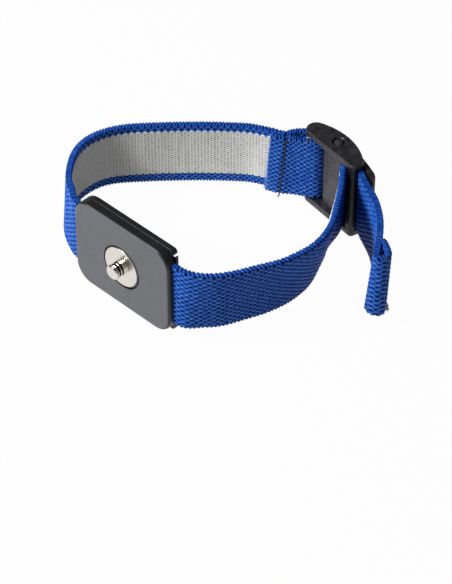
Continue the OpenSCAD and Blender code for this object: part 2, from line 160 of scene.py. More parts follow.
class NodeMaker:
    """Builds the nodes of one material or world."""

    def __init__(self, owner: Material | bpy.types.World) -> None:
        """Starts the owner's tree empty."""
        owner.use_nodes = True
        self.tree = owner.node_tree
        self.tree.nodes.clear()

    def node(self, kind: str, inputs: Inputs, **settings: object) -> bpy.types.Node:
        """Adds a node, sets it and then fills its sockets.

        Args:
            kind: Blender's name of the node's type, after its "ShaderNode".
            inputs: Values or wires by the name or number of the socket.
            settings: The node's own properties.

        Returns:
            The new node.
        """
        made = self.tree.nodes.new("ShaderNode" + kind)
        for name, value in settings.items():
            setattr(made, name, value)
        for name, value in inputs.items():
            socket = made.inputs[name]
            if isinstance(value, Wire):
                self.tree.links.new(value.socket, socket)
            else:
                socket.default_value = (*value, 1.0) if socket.type == "RGBA" else value
        return made

    def add(self, kind: str, inputs: Inputs, output: str | int = 0, **settings: object) -> Wire:
        """Adds a node and gives one of its outputs, by name or number."""
        return Wire(self, self.node(kind, inputs, **settings).outputs[output])

    def mix(self, share: Wire | float, first: object, second: object) -> Wire:
        """Mixes two colours, by a share of the second."""
        inputs = {0: share, 6: first, 7: second}
        return self.add("Mix", inputs, 2, data_type="RGBA", clamp_factor=True)

    def attribute(self, name: str) -> Wire:
        """Reads one of the mesh's own number layers."""
        return self.add("Attribute", {}, "Fac", attribute_type="GEOMETRY", attribute_name=name)

    def coordinates(self, source: str = "Object", scale: Triple = (1.0, 1.0, 1.0)) -> Wire:
        """Gives texture coordinates, scaled along the three axes."""
        place = self.add("TexCoord", {}, source)
        return self.add("Mapping", {"Vector": place, "Scale": scale})

    def chart(self) -> tuple[Wire, Wire]:
        """Gives the two numbers of the mesh's own chart."""
        parts = self.node("SeparateXYZ", {0: self.add("TexCoord", {}, "UV")})
        return Wire(self, parts.outputs[0]), Wire(self, parts.outputs[1])

    def pair(self, first: Wire, second: Wire) -> Wire:
        """Puts two values in a vector."""
        return self.add("CombineXYZ", {0: first, 1: second})

    def chance(self, first: Wire, second: Wire) -> Wire:
        """Gives a fixed random share for each pair of whole numbers."""
        inputs = {"Vector": self.pair(first, second)}
        return self.add("TexWhiteNoise", inputs, "Value", noise_dimensions="2D")

    def noise(self, vector: Wire, scale: float = 1.0, detail: float = 3.0) -> Wire:
        """Gives a noise value from 0 to 1."""
        return self.add("TexNoise", {"Vector": vector, "Scale": scale, "Detail": detail}, "Fac")

    def bump(self, height: Wire, strength: float, distance: float) -> Wire:
        """Turns a height into a normal; the distance is in millimetres."""
        inputs = {"Height": height, "Strength": strength, "Distance": distance * MM}
        return self.add("Bump", inputs, "Normal")


@dataclass(frozen=True)
class Finish:
    """Look of one kind of surface."""

    name: str

    def inputs(self, maker: NodeMaker) -> Inputs:
        """Gives the inputs of the Principled shader; each finish has its own."""
        raise NotImplementedError

    def material(self) -> Material:
        """Makes the material round one Principled shader.

        Returns:
            The material.
        """
        made = bpy.data.materials.new(self.name)
        maker = NodeMaker(made)
        shader = maker.add("BsdfPrincipled", self.inputs(maker))
        maker.node("OutputMaterial", {"Surface": shader})
        return made


@dataclass(frozen=True)
class KnitFinish(Finish):
    """Dyed knitted yarn, with black cover thread and painted shade in its gaps, and painted
    highlights on its crowns.
    """

    name: str = "knitted_blue_yarn"
    # gap and shade are painted shade in the knit's hollows, laid over the black cover thread.
    gap: Triple = linear(1, 3, 12)
    shade: Triple = linear(1, 29, 94)
    yarn: Triple = linear(8, 72, 172)
    # crown is a painted highlight on the yarns' tops.
    crown: Triple = linear(88, 152, 248)
    frayed: Triple = linear(104, 150, 222)
    fleck: Triple = linear(118, 98, 66)
    rib_shift: float = 0.35
    rib_sides: Point = (0.16, 0.38)
    rib_narrowing: float = 0.06

    def inputs(self, maker: NodeMaker) -> Inputs:
        """Gives the shader's inputs.

        Args:
            maker: Node maker of the material.

        Returns:
            Values and links for the Principled shader.
        """
        column, rise = maker.chart()
        lattice = rise.cosine(1.0) * column.cosine(0.5)
        wave = rise - column.bounced(1.0) * 0.5
        across = 1 - wave.bounced(0.5) * 2
        face = (1 - across**4 * 0.5) * (1 - lattice.ramped(0.3, 0.8))
        tone = maker.chance((rise + 0.5 * column.rounded()).rounded(), column.rounded())
        slant, rim = maker.attribute("slant"), maker.attribute("rim")
        odd = slant.rounded().bounced(1.0)
        apart = slant.bounced(0.5)
        edge = (rim - odd * self.rib_shift).ramped(0.0, 0.2)
        low, high = (side - odd * self.rib_narrowing for side in self.rib_sides)
        rib = 1 - (1 - apart.ramped(low, high)) * maker.attribute("open")
        height = face * (1 - edge) + rib * edge
        # grain and light lead to the crown colour: painted highlights on the stitches' tops and
        # along the strands.
        grain = (0.0 - lattice).ramped(-0.3, 0.9) * (1 - edge)
        grain = grain + apart.ramped(0.25, 0.5) * edge * 0.3
        fibres = maker.noise(maker.pair(column * 1.3, wave * 7.0)) * (1 - edge)
        fibres = fibres + maker.noise(maker.pair(slant * 8.0, rim * 1.5)) * edge
        light = fibres.ramped(0.48, 0.7) * height * (0.75 - edge * 0.35)
        # Low parts of the relief turn to the gap and shade colours: painted shade in the hollows.
        base = maker.mix(height.ramped(0.05, 0.55), self.gap, self.shade)
        base = maker.mix(height.ramped(0.3, 0.95), base, self.yarn)
        base = maker.mix(grain * (0.1 + tone * 0.5) + light, base, self.crown)
        base = maker.mix((0.5 - fibres) * 2.4, base, self.shade)
        base = maker.mix(maker.attribute("frayed"), base, self.frayed)
        base = maker.mix(maker.attribute("fleck") * 0.8, base, self.fleck)
        return {
            "Base Color": base,
            "Roughness": 0.85 - height * 0.25 - grain * 0.15,
            "Specular IOR Level": 0.12,
            "Normal": maker.bump(height * 0.6 + fibres, 0.7, 0.1),
        }


@dataclass(frozen=True)
class LiningFinish(Finish):
    """Pale conductive yarn with small dark gaps."""

    name: str = "conductive_grey_knit"
    gap: Triple = linear(34, 35, 37)
    shade: Triple = linear(196, 196, 190)
    yarn: Triple = linear(244, 243, 236)

    def inputs(self, maker: NodeMaker) -> Inputs:
        """Gives the shader's inputs.

        Args:
            maker: Node maker of the material.

        Returns:
            Values and links for the Principled shader.
        """
        column, rise = maker.chart()
        place = column.rounded()
        step = rise - place.bounced(1.0) * 0.5
        chance = maker.chance(place, step.rounded())
        far = (column.bounced(0.5) * 2.9) ** 2 + (step.bounced(0.5) * 5.2) ** 2
        dash = 1 - far.ramped(0.25, 1.5)
        fibres = maker.noise(maker.coordinates("UV", (2.5, 4.0, 1.0)), 2.5, 4.0)
        streak = maker.noise(maker.coordinates("UV", (0.9, 0.05, 1.0)), 1.0, 2.0)
        base = maker.mix((fibres - 0.3) * 1.1 + (streak - 0.5), self.yarn, self.shade)
        base = maker.mix(dash * (0.42 + chance**2 * 0.58), base, self.gap)
        return {
            "Base Color": base,
            "Roughness": 0.72,
            "Specular IOR Level": 0.5,
            "Sheen Weight": 0.1,
            "Normal": maker.bump(fibres - dash, 0.6, 0.08),
        }


@dataclass(frozen=True)
class ThreadFinish(Finish):
    """Twisted sewing thread."""

    dark: Triple
    light: Triple

    def inputs(self, maker: NodeMaker) -> Inputs:
        """Gives the shader's inputs.

        Args:
            maker: Node maker of the material.

        Returns:
            Values and links for the Principled shader.
        """
        inputs = {"Vector": maker.coordinates(), "Scale": 2600.0, "Distortion": 1.5}
        twist = maker.add("TexWave", inputs, "Fac", bands_direction="DIAGONAL")
        return {
            "Base Color": maker.mix(twist * 0.7, self.dark, self.light),
            "Roughness": 0.62,
            "Sheen Weight": 0.15,
            "Normal": maker.bump(twist, 0.5, 0.05),
        }


@dataclass(frozen=True)
class PlasticFinish(Finish):
    """Moulded plastic with a fine grain, slightly uneven gloss, and lighter mottled patches of
    painted sheen.
    """

    colour: Triple
    lighter: Triple
    roughness: float
    grain: float = 0.25
    speckle: float = 0.12
    sheen_mottle: float = 0.18

    def inputs(self, maker: NodeMaker) -> Inputs:
        """Gives the shader's inputs.

        Args:
            maker: Node maker of the material.

        Returns:
            Values and links for the Principled shader.
        """
        place = maker.coordinates()
        # The fine speckle is the plastic's own grain; the broad mottle and the patches, which also
        # lower the roughness, lift the colour toward the lighter one as painted sheen.
        fine = maker.noise(place, 5200.0, 2.0)
        broad = maker.noise(place, 110.0, 4.0)
        sheen_patches = maker.noise(place, 800.0, 4.0).ramped(0.35, 0.7)
        share = (fine - 0.5) * self.speckle + (broad + sheen_patches - 0.3) * self.sheen_mottle
        return {
            "Base Color": maker.mix(share, self.colour, self.lighter),
            "Roughness": self.roughness + (broad - 0.5) * 0.16 - sheen_patches * self.sheen_mottle * 0.2,
            "Specular IOR Level": 0.5,
            "Normal": maker.bump(fine, self.grain, 0.03),
        }


@dataclass(frozen=True)
class NickelFinish(Finish):
    """Turned and plated metal, with faint lathe rings and small scuffs."""

    centre: Triple
    roughness: float
    colour: Triple = linear(226, 222, 214)
    dull: Triple = linear(186, 181, 171)

    def inputs(self, maker: NodeMaker) -> Inputs:
        """Gives the shader's inputs.

        Args:
            maker: Node maker of the material.

        Returns:
            Values and links for the Principled shader.
        """
        spot = maker.add("TexCoord", {}, "Object")
        shift = tuple(-c * MM for c in self.centre)
        about = maker.add("Mapping", {"Vector": spot, "Location": shift})
        inputs = {"Vector": about, "Scale": 900.0, "Distortion": 0.6}
        rings = maker.add("TexWave", inputs, "Fac", wave_type="RINGS", rings_direction="Y")
        scuffs = maker.noise(maker.coordinates(), 420.0, 5.0)
        return {
            "Base Color": maker.mix((scuffs - 0.45) * 0.7, self.colour, self.dull),
            "Metallic": 1.0,
            "Roughness": self.roughness + (scuffs - 0.5) * 0.08 + rings * 0.03,
            "Normal": maker.bump(scuffs, 0.08, 0.01),
        }


# --- Mesh tools ---


def linked(name: str, data: bpy.types.ID) -> Thing:
    """Makes an object at the origin and puts it in the scene.

    Args:
        name: The object's name.
        data: Its mesh, lamp or camera.

    Returns:
        The object.
    """
    made = bpy.data.objects.new(name, data)
    bpy.context.scene.collection.objects.link(made)
    return made


def piece(name: str, mesh: BMesh, *materials: Material) -> Thing:
    """Turns a bmesh, in millimetres, into an object at the origin.

    Args:
        name: The object's name.
        mesh: The shape; it is freed.
        materials: The object's material slots, in order.

    Returns:
        The linked object.
    """
    bmesh.ops.scale(mesh, vec=(MM, MM, MM), verts=mesh.verts)
    data = bpy.data.meshes.new(name)
    mesh.to_mesh(data)
    mesh.free()
    for material in materials:
        data.materials.append(material)
    return linked(name, data)


def shaded(made: Thing, sharp_from: float = 32.0) -> Thing:
    """Smooths a hard piece's shading up to an angle, with its flat faces kept flat.

    Args:
        made: The piece.
        sharp_from: Edges that turn by more degrees than this stay sharp.

    Returns:
        The same piece.
    """
    made.data.polygons.foreach_set("use_smooth", [True] * len(made.data.polygons))
    made.data.set_sharp_from_angle(angle=math.radians(sharp_from))
    made.modifiers.new("flat_faces", "WEIGHTED_NORMAL").keep_sharp = True
    return made


def carve(body: Thing, *cutters: Thing) -> None:
    """Cuts closed shapes out of a piece and removes the cutters.

    Args:
        body: The piece.
        cutters: The shapes to cut away.
    """
    for cutter in cutters:
        cut = body.modifiers.new(cutter.name, "BOOLEAN")
        cut.operation = "DIFFERENCE"
        cut.solver = "EXACT"
        cut.object = cutter
    graph = bpy.context.evaluated_depsgraph_get()
    carved = bpy.data.meshes.new_from_object(body.evaluated_get(graph))
    body.modifiers.clear()
    body.data = carved
    for cutter in cutters:
        bpy.data.objects.remove(cutter)


def placed(body: Body, slot: Slot, made: Thing, *nodes: str) -> None:
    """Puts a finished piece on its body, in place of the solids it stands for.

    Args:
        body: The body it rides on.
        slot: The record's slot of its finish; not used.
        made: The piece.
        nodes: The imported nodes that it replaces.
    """
    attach(made, body.value)
    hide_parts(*nodes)
    LOG.info("%s: %d faces", made.name, len(made.data.polygons))


def fitted(
    slot: Slot,
    node: str,
    name: str,
    mesh: BMesh,
    finish: Material,
    sharp_from: float = 32.0,
) -> None:
    """Makes a hard piece of one finish and puts it on the strap."""
    placed(Body.STRAP, slot, shaded(piece(name, mesh, finish), sharp_from), node)


def moved(mesh: BMesh, place: Matrix) -> BMesh:
    """Moves a shape and gives it back."""
    bmesh.ops.transform(mesh, matrix=place, verts=mesh.verts)
    return mesh


def bevelled(mesh: BMesh, parts: Iterable, size: float, steps: int, kind: str = "EDGES") -> None:
    """Rounds edges or corners of a shape.

    Args:
        mesh: The shape.
        parts: The edges or corners to round.
        size: Width of the rounding.
        steps: Facets across it.
        kind: "EDGES" or "VERTICES".
    """
    bmesh.ops.bevel(
        mesh,
        geom=list(parts),
        offset=size,
        offset_type="OFFSET",
        segments=steps,
        profile=0.5,
        affect=kind,
        clamp_overlap=True,
        material=-1,
    )


def rims(mesh: BMesh) -> list[bmesh.types.BMEdge]:
    """Lists the level edges of a plate."""
    return [e for e in mesh.edges if abs(e.verts[0].co.z - e.verts[1].co.z) < 1e-4]


def box(size: Triple, centre: Triple) -> BMesh:
    """Makes a plain block.

    Args:
        size: Its extent along the three axes.
        centre: Its middle.

    Returns:
        The block.
    """
    mesh = bmesh.new()
    place = Matrix.Translation(centre) @ Matrix.Diagonal((*size, 1.0))
    bmesh.ops.create_cube(mesh, size=1.0, matrix=place)
    return mesh


def cone(radii: Point, depth: float, place: Matrix, facets: int = 6) -> BMesh:
    """Makes a closed cone or rod about the Z axis.

    Args:
        radii: Radius of its foot and of its top.
        depth: Its length.
        place: Where it is put.
        facets: Facets round it.

    Returns:
        The shape.
    """
    mesh = bmesh.new()
    foot, top = radii
    bmesh.ops.create_cone(
        mesh, cap_ends=True, segments=facets, radius1=foot, radius2=top, depth=depth, matrix=place
    )
    return mesh


def spun(profile: Sequence[Point], rounding: float, steps: int) -> BMesh:
    """Turns a profile about the Z axis into a closed shape.

    Args:
        profile: (radius, height) points; a closed profile off the axis repeats its first point.
        rounding: Size of the rounding at the profile's corners.
        steps: Facets round the shape.

    Returns:
        The turned shape.
    """
    mesh = bmesh.new()
    ring = profile[0] == profile[-1]
    corners = [mesh.verts.new((r, 0.0, h)) for r, h in (profile[:-1] if ring else profile)]
    for first, second in zip(corners, corners[1:] + corners[:1] if ring else corners[1:]):
        mesh.edges.new((first, second))
    off_axis = [v for v in corners if v.co.x > 0.01]
    if rounding:
        bevelled(mesh, off_axis, rounding, 3, "VERTICES")
    bmesh.ops.spin(
        mesh,
        geom=mesh.verts[:] + mesh.edges[:],
        cent=(0, 0, 0),
        axis=(0, 0, 1),
        angle=2 * math.pi,
        steps=steps,
        use_merge=True,
    )
    bmesh.ops.remove_doubles(mesh, verts=mesh.verts, dist=1e-4)
    bmesh.ops.recalc_face_normals(mesh, faces=mesh.faces)
    return mesh


def profile_plate(outline: Sequence[Point], low: float, high: float) -> BMesh:
    """Extrudes a flat outline upwards.

    Args:
        outline: Its corners, in the XY plane.
        low: Height of its underside.
        high: Height of its top.

    Returns:
        The plate.
    """
    mesh = bmesh.new()
    foot = mesh.faces.new([mesh.verts.new((x, y, low)) for x, y in outline])
    grown = bmesh.ops.extrude_face_region(mesh, geom=[foot])
    top = [g for g in grown["geom"] if isinstance(g, bmesh.types.BMVert)]
    bmesh.ops.translate(mesh, vec=(0, 0, high - low), verts=top)
    bmesh.ops.recalc_face_normals(mesh, faces=mesh.faces)
    return mesh


def joined(parts: Sequence[BMesh]) -> BMesh:
    """Puts several shapes in one mesh.

    Args:
        parts: The shapes; all but the first are freed.

    Returns:
        The first, with the others added.
    """
    for part in parts[1:]:
        spare = bpy.data.meshes.new("part")
        part.to_mesh(spare)
        part.free()
        parts[0].from_mesh(spare)
        bpy.data.meshes.remove(spare)
    return parts[0]


def numbers(items: bpy.types.bpy_prop_collection, name: str, width: int) -> Array:
    """Reads a vector of each of a mesh's elements.

    Args:
        items: The elements.
        name: The vector's name.
        width: Its count of numbers.

    Returns:
        One row for each element.
    """
    flat = np.empty(len(items) * width, np.float32)
    items.foreach_get(name, flat)
    return flat.reshape(-1, width).astype(float)


def wrapped(
    name: str,
    outline: Array,
    span: Point,
    steps: int,
    row: float,
    form: Callable[[Array, Array], tuple[Array, dict[str, Array]]],
    finish: Material,
) -> Thing:
    """Wraps an outline along the band into a closed tube, charted by columns and rows of stitches.

    Args:
        name: The object's name.
        outline: The section's points, the last like the first; their second number is the height.
        span: First and last column along the band.
        steps: Steps for each column.
        row: Height of a row of stitches.
        form: Gives points in millimetres, and number layers, from columns and outline points.
        finish: The material.

    Returns:
        The finished object.
    """
    around = len(outline) - 1

    def sampled(shares: Array) -> tuple[Array, Array]:
        """Turns shares along and round the tube into columns and outline points."""
        near = np.clip(np.round(shares[:, 1] * around).astype(int), 0, around)
        return span[0] + (span[1] - span[0]) * shares[:, 0], outline[near]

    grid = bmesh.new()
    grid.loops.layers.uv.new("weave")
    along = int(span[1] - span[0]) * steps
    bmesh.ops.create_grid(grid, x_segments=along, y_segments=around, size=0.5, calc_uvs=True)
    sheet = bpy.data.meshes.new(name)
    grid.to_mesh(sheet)
    grid.free()
    points, layers = form(*sampled(numbers(sheet.vertices, "co", 3) + 0.5))
    sheet.vertices.foreach_set("co", (points * MM).astype(np.float32).ravel())
    for layer, values in layers.items():
        added = sheet.attributes.new(layer, "FLOAT", "POINT")
        added.data.foreach_set("value", values.astype(np.float32))
    weave = sheet.uv_layers["weave"].data
    column, nearest = sampled(numbers(weave, "uv", 2))
    charted = np.stack([column, nearest[:, 1] / row], axis=1)
    weave.foreach_set("uv", charted.astype(np.float32).ravel())
    tube = bmesh.new()
    tube.from_mesh(sheet)
    rim = [v for v in tube.verts if v.is_boundary]
    bmesh.ops.remove_doubles(tube, verts=rim, dist=1e-7)
    bmesh.ops.holes_fill(tube, edges=[e for e in tube.edges if e.is_boundary], sides=0)
    bmesh.ops.recalc_face_normals(tube, faces=tube.faces)
    tube.to_mesh(sheet)
    tube.free()
    sheet.polygons.foreach_set("use_smooth", [True] * len(sheet.polygons))
    sheet.materials.append(finish)
    return linked(name, sheet)


# --- Sizes and route ---


@dataclass(frozen=True)
class Sizes:
    """Main sizes of the strap, in millimetres."""

    band_w: float = 18.0
    band_t: float = 1.6
    lining_top: float = 7.1
    lining_bottom: float = -6.5
    layer_gap: float = 0.15
    seam_slant: float = 0.085
    seam_pull: float = 0.26
    housing_l: float = 31.5
    housing_h: float = 24.5
    face_wall: float = 1.5
    slot_t: float = 1.7
    slot_w: float = 18.1
    cover_t: float = 2.6
    housing_t: float = 4.2
    housing_r: float = 4.8
    rear_r: float = 1.0
    rear_inset: float = 0.8
    flange_rise: float = 0.1
    bore_r: float = 1.15
    stud_x: float = -6.9
    stud_z: float = 12.25
    face_y: float = -30.6
    cheek_ends: Point = (-10.7, 9.2)
    back_bar: Point = (-8.25, 1.8)
    front_bar: Point = (8.15, 1.5)
    buckle_h: float = 22.0
    cheek_t: float = 1.65
    back_bar_r: float = 1.2
    front_bar_r: float = 1.0
    bar_play: float = 0.1

    def on_stud(self, depth: float, shift: float = 0.0, degrees: float = 90.0) -> Matrix:
        """Places a shape turned about Z on the stud's axis, at a depth behind the face."""
        place = Matrix.Translation((self.stud_x + shift, self.face_y + depth, self.stud_z))
        return place @ rotation(degrees, "X")


SIZES = Sizes()


@dataclass(frozen=True)
class Knot:
    """Point of the band's route, with its heading and lean in degrees."""

    x: float
    y: float
    heading: float
    lean: float = 0.0
    height: float = SIZES.buckle_h / 2


@dataclass(frozen=True)
class BuckleAxes:
    """The buckle's own axes: along its length and outward from the wrist."""

    x: float = 6.0
    y: float = 26.8
    yaw: float = -12.9

    def knot(self, along: float, outward: float, heading: float, lean: float = 0.0) -> Knot:
        """Gives a knot, in the strap's axes, from a place on the buckle."""
        dx, dy = turned((along, outward), self.yaw)
        return Knot(self.x + dx, self.y + dy, heading + self.yaw, lean)

    def round_bar(self, bar: Point, radius: float, heading: float, side: int) -> Knot:
        """Gives a knot on a turn round a bar; side is 1 for an anticlockwise turn."""
        nx, ny = turned((0.0, 1.0), heading)
        return self.knot(bar[0] - side * radius * nx, bar[1] - side * radius * ny, heading)

    def laid_on(self, along: float, outward: float, heading: float) -> Knot:
        """Gives a knot one layer to the left of another, running the other way."""
        nx, ny = turned((0.0, SIZES.band_t + SIZES.layer_gap), heading)
        return self.knot(along + nx, outward + ny, heading - 180)

    def matrix(self) -> Matrix:
        """Gives the buckle's placing, for meshes in metres."""
        return Matrix.Translation((self.x * MM, self.y * MM, 0.0)) @ rotation(self.yaw, "Z")


AXES = BuckleAxes()


class Mark(Enum):
    """Named places along the route."""

    FLAP_STITCH = "flap_stitch"
    START_STITCH = "start_stitch"
    HOUSING_IN = "housing_in"
    HOUSING_OUT = "housing_out"
    FRONT_BAR = "front_bar"
    FOLD = "fold"
    TAIL_STITCH = "tail_stitch"


class Route:
    """Smooth curve that the band's middle follows, from the sewn flap to the folded tail.

    SAMPLES counts the points between two knots. PITCHES gives the width of one column of the knit
    at some of the marks, and END_PITCH at the tail's end.
    """

    SAMPLES = 48
    PITCHES = {
        Mark.FLAP_STITCH: 0.86,
        Mark.START_STITCH: 0.8,
        Mark.HOUSING_IN: 0.86,
        Mark.HOUSING_OUT: 1.0,
        Mark.FRONT_BAR: 0.98,
    }
    END_PITCH = 0.95

    def __init__(self) -> None:
        """Samples the curve through the knots and counts the knit's columns along it."""
        knots, self.marks_at = self._knots()
        rows = [self._between(first, second) for first, second in zip(knots, knots[1:])]
        end = knots[-1]
        rows.append(np.array([[end.x, end.y, rows[-1][-1, 2], end.lean, end.height]]))
        self.table = np.concatenate(rows)
        self.table[:, 2] = np.unwrap(self.table[:, 2])
        steps = np.hypot(np.diff(self.table[:, 0]), np.diff(self.table[:, 1]))
        self.length = np.concatenate([[0.0], np.cumsum(steps)])
        self.total = float(self.length[-1])
        places = [*map(self.at, self.PITCHES), self.total]
        pitch = np.interp(self.length, places, [*self.PITCHES.values(), self.END_PITCH])
        counted = np.concatenate([[0.0], np.cumsum(steps / ((pitch[1:] + pitch[:-1]) / 2))])
        self.columns = counted * round(counted[-1]) / counted[-1]
        self.last_column = round(float(self.columns[-1]))

    def _knots(self) -> tuple[list[Knot], dict[Mark, float]]:
        """Lists the knots.

        Returns:
            The knots, and the places of the marks, counted in knots.
        """
        s = SIZES
        rise = (s.housing_h - s.buckle_h) / 2
        loop_r = s.back_bar_r + s.band_t / 2 + s.bar_play
        turn_r = s.front_bar_r + s.band_t / 2 + s.bar_play
        stitch, flap = (-13.5, -4.1, 237.0), (-16.1, -6.0, 219.0)

        def free(*rows: tuple[float, float, float, float, float]) -> list[Knot]:
            """Lists free knots; their last number is a share of the rise to the housing."""
            return [Knot(x, y, h, lean, s.buckle_h / 2 + up * rise) for x, y, h, lean, up in rows]

        knots = [AXES.laid_on(*flap), AXES.laid_on(*stitch), AXES.knot(-9.7, -1.8 - loop_r / 4, 42)]
        knots += [AXES.round_bar(s.back_bar, loop_r, h, 1) for h in (48, 110, 172, 234)]
        knots += [AXES.knot(-12.2, -0.5, 243), AXES.knot(*stitch), AXES.knot(*flap)]
        marks = {Mark.FLAP_STITCH: 1.0, Mark.START_STITCH: len(knots) - 2.0}
        knots += free(
            (-17, 21.1, 220, 0, 0.1),
            (-25.6, 12.8, 225, 0, 0.35),
            (-34.9, 2.3, 229, 0, 0.6),
            (-40, -7.5, 261, -3, 0.8),
            (-36.7, -19.3, 308, -5, 0.95),
            (-29.2, -25.9, 334, -3, 1),
        )
        band_y = s.face_y + s.face_wall + s.slot_t / 2
        for side in (-1, 1):
            knots.append(Knot(s.stud_x + side * (s.housing_l / 2 + 1), band_y, 0, 0, s.stud_z))
        marks |= {Mark.HOUSING_IN: len(knots) - 2.0, Mark.HOUSING_OUT: len(knots) - 1.0}
        knots += free(
            (15.8, -24.6, 44, 7, 0.95),
            (21, -14.9, 66, 9, 0.8),
            (23.6, -7, 80, 11.5, 0.65),
            (23.9, 0.6, 96, 13.5, 0.5),
            (21.4, 8.5, 116, 14, 0.35),
            (17.4, 15.4, 122, 11, 0.2),
        )
        knots += [AXES.knot(6.65, -0.75, 139, 2), AXES.knot(4.35, 2, 90), AXES.knot(5.8, 3.2, 0)]
        marks[Mark.FRONT_BAR] = float(len(knots))
        knots += [AXES.round_bar(s.front_bar, turn_r, h, -1) for h in (0, -27)]
        tail = [(20.8, -0.7, -24, -1), (25.8, -3.5, -33, -2), (30.6, -7.5, -41, -4)]
        tail += [(34.5, -11.2, -41, -5), (37.1, -11, 57, -1), (36.7, -8.9, 140, 2)]
        tail += [(33.7, -7.4, 158, 1), (32.2, -6.75, 143, 0)]
        knots += [AXES.knot(*row) for row in tail]
        marks |= {Mark.FOLD: len(knots) - 4.0, Mark.TAIL_STITCH: len(knots) - 2.5}
        return knots, marks

    def _between(self, a: Knot, b: Knot) -> Array:
        """Samples one stretch of the curve.

        Args:
            a: Its first knot.
            b: Its last knot.

        Returns:
            Rows of x, y, heading in radians, lean in degrees and height.
        """
        u = np.arange(self.SAMPLES) / self.SAMPLES
        bend = (b.heading - a.heading + 540) % 360 - 180
        pull = math.hypot(b.x - a.x, b.y - a.y) / math.cos(math.radians(bend / 4)) ** 2
        start, end = turned((pull, 0.0), a.heading), turned((pull, 0.0), b.heading)
        out, slope = [], []
        for p, q, m, n in zip((a.x, a.y), (b.x, b.y), start, end):
            out.append(
                (2 * u**3 - 3 * u**2 + 1) * p + (u**3 - 2 * u**2 + u) * m
                + (3 * u**2 - 2 * u**3) * q + (u**3 - u**2) * n
            )
            slope.append(
                (6 * u**2 - 6 * u) * (p - q) + (3 * u**2 - 4 * u + 1) * m + (3 * u**2 - 2 * u) * n
            )
        share = u * u * (3 - 2 * u)
        lean = a.lean + (b.lean - a.lean) * share
        height = a.height + (b.height - a.height) * share
        return np.stack([out[0], out[1], np.arctan2(slope[1], slope[0]), lean, height], axis=1)

    def at(self, mark: Mark) -> float:
        """Gives the length from the flap's end to a mark."""
        return float(self.length[int(round(self.marks_at[mark] * self.SAMPLES))])

    def column(self, length: Array) -> Array:
        """Counts the knit's columns up to a length along the band."""
        return np.interp(length, self.length, self.columns)

    def length_at(self, column: Array) -> Array:
        """Gives the length along the band at a count of columns."""
        return np.interp(column, self.columns, self.length)

    def past(self, mark: Mark, start: float, end: float, length: Array) -> Array:
        """Rises from 0 to 1 along a stretch whose two ends are counted from a mark."""
        return smooth(self.at(mark) + start, self.at(mark) + end, length)

    def near(self, mark: Mark, width: float, length: Array) -> Array:
        """Gives 1 at a mark, and fades to 0 on both sides of it."""
        return np.exp(-(((length - self.at(mark)) / width) ** 2))

    def within(self, start: float, end: float, length: Array) -> Array:
        """Rises from 0 to 1 along a stretch inside each of the housing's mouths."""
        left = self.past(Mark.HOUSING_OUT, -end, -start, length)
        return self.past(Mark.HOUSING_IN, start, end, length) * (1 - left)

    def place(self, length: Array, across: Array, up: Array) -> Array:
        """Gives points near the route.

        Args:
            length: Lengths along the band.
            across: Distances from the band's middle towards the wrist.
            up: Heights above the band's middle.

        Returns:
            An array of points in millimetres.
        """
        beyond = length - np.clip(length, 0.0, self.total)
        x, y, heading, lean, height = (np.interp(length, self.length, c) for c in self.table.T)
        lean = np.radians(lean)
        side = across * np.cos(lean) - up * np.sin(lean)
        rise = across * np.sin(lean) + up * np.cos(lean)
        x = x + beyond * np.cos(heading) - side * np.sin(heading)
        y = y + beyond * np.sin(heading) + side * np.cos(heading)
        return np.stack([x, y, height + rise], axis=1)

    def skewed(self, length: Array, up: Array) -> Array:
        """Gives how far the sewn flap's end and seam slant along the band.

        Args:
            length: Lengths along the band.
            up: Heights above the band's middle.

        Returns:
            Shifts along the band.
        """
        flap = 1 - self.past(Mark.FLAP_STITCH, 0.5, 5.0, length)
        return SIZES.seam_slant * up * (flap - self.near(Mark.START_STITCH, 2.5, length))

    def rounded_end(self, length: Array, up: Array, radius: float) -> Array:
        """Gives how far the tail's lower corner is drawn up.

        Args:
            length: Lengths along the band.
            up: Heights above the band's middle.
            radius: Radius of the corner.

        Returns:
            Rises in millimetres.
        """
        into = np.clip(length - self.total + radius, 0.0, radius)
        cut = radius - np.sqrt(radius**2 - into**2)
        return cut * (1 - smooth(-SIZES.band_w / 2, -SIZES.band_w / 6, up))

    def ring_matrix(self, length: float, across: float, up: float) -> Matrix:
        """Gives a placing at a point near the route.

        Args:
            length: Length along the band.
            across: Distance towards the wrist.
            up: Height above the band's middle.

        Returns:
            Matrix whose X runs along the band, Y towards the wrist and Z up its width.
        """
        here = self.place(*(np.array([v]) for v in (length, across, up)))[0]
        heading, lean = (float(np.interp(length, self.length, self.table[:, c])) for c in (2, 3))
        turn = Matrix.Rotation(heading, 4, "Z") @ rotation(lean, "X")
        return Matrix.Translation(here.tolist()) @ turn


# --- Knitted band ---


def scatter(*counts: Array) -> Array:
    """Gives a fixed pseudo-random share for each set of whole numbers."""
    mixed = sum(count * factor for count, factor in zip(counts, (12.9898, 78.233)))
    return np.mod(np.sin(mixed) * 43758.5453, 1.0)


@dataclass(frozen=True)
class Stitch:
    """Lattice of zigzag yarns, with a hole at each of their corners."""

    row: float = 1.37
    groove: float = 0.4
    hole: Point = (0.25, 0.9)

    def relief(self, column: Array, up: Array) -> Array:
        """Gives the yarns' relief.

        Args:
            column: Counts of columns along the band.
            up: Heights across the band.

        Returns:
            Heights from 0 to 1.
        """
        rise = up / self.row
        lattice = np.cos(2 * np.pi * rise) * np.cos(np.pi * column)
        fold = 1 - np.abs(np.mod(column, 2) - 1)
        across = 2 * np.abs(np.mod(rise - fold / 2, 1) - 0.5)
        plump = 0.8 - 0.2 * lattice
        return plump * (1 - self.groove * across**6) * (1 - smooth(*self.hole, lattice))


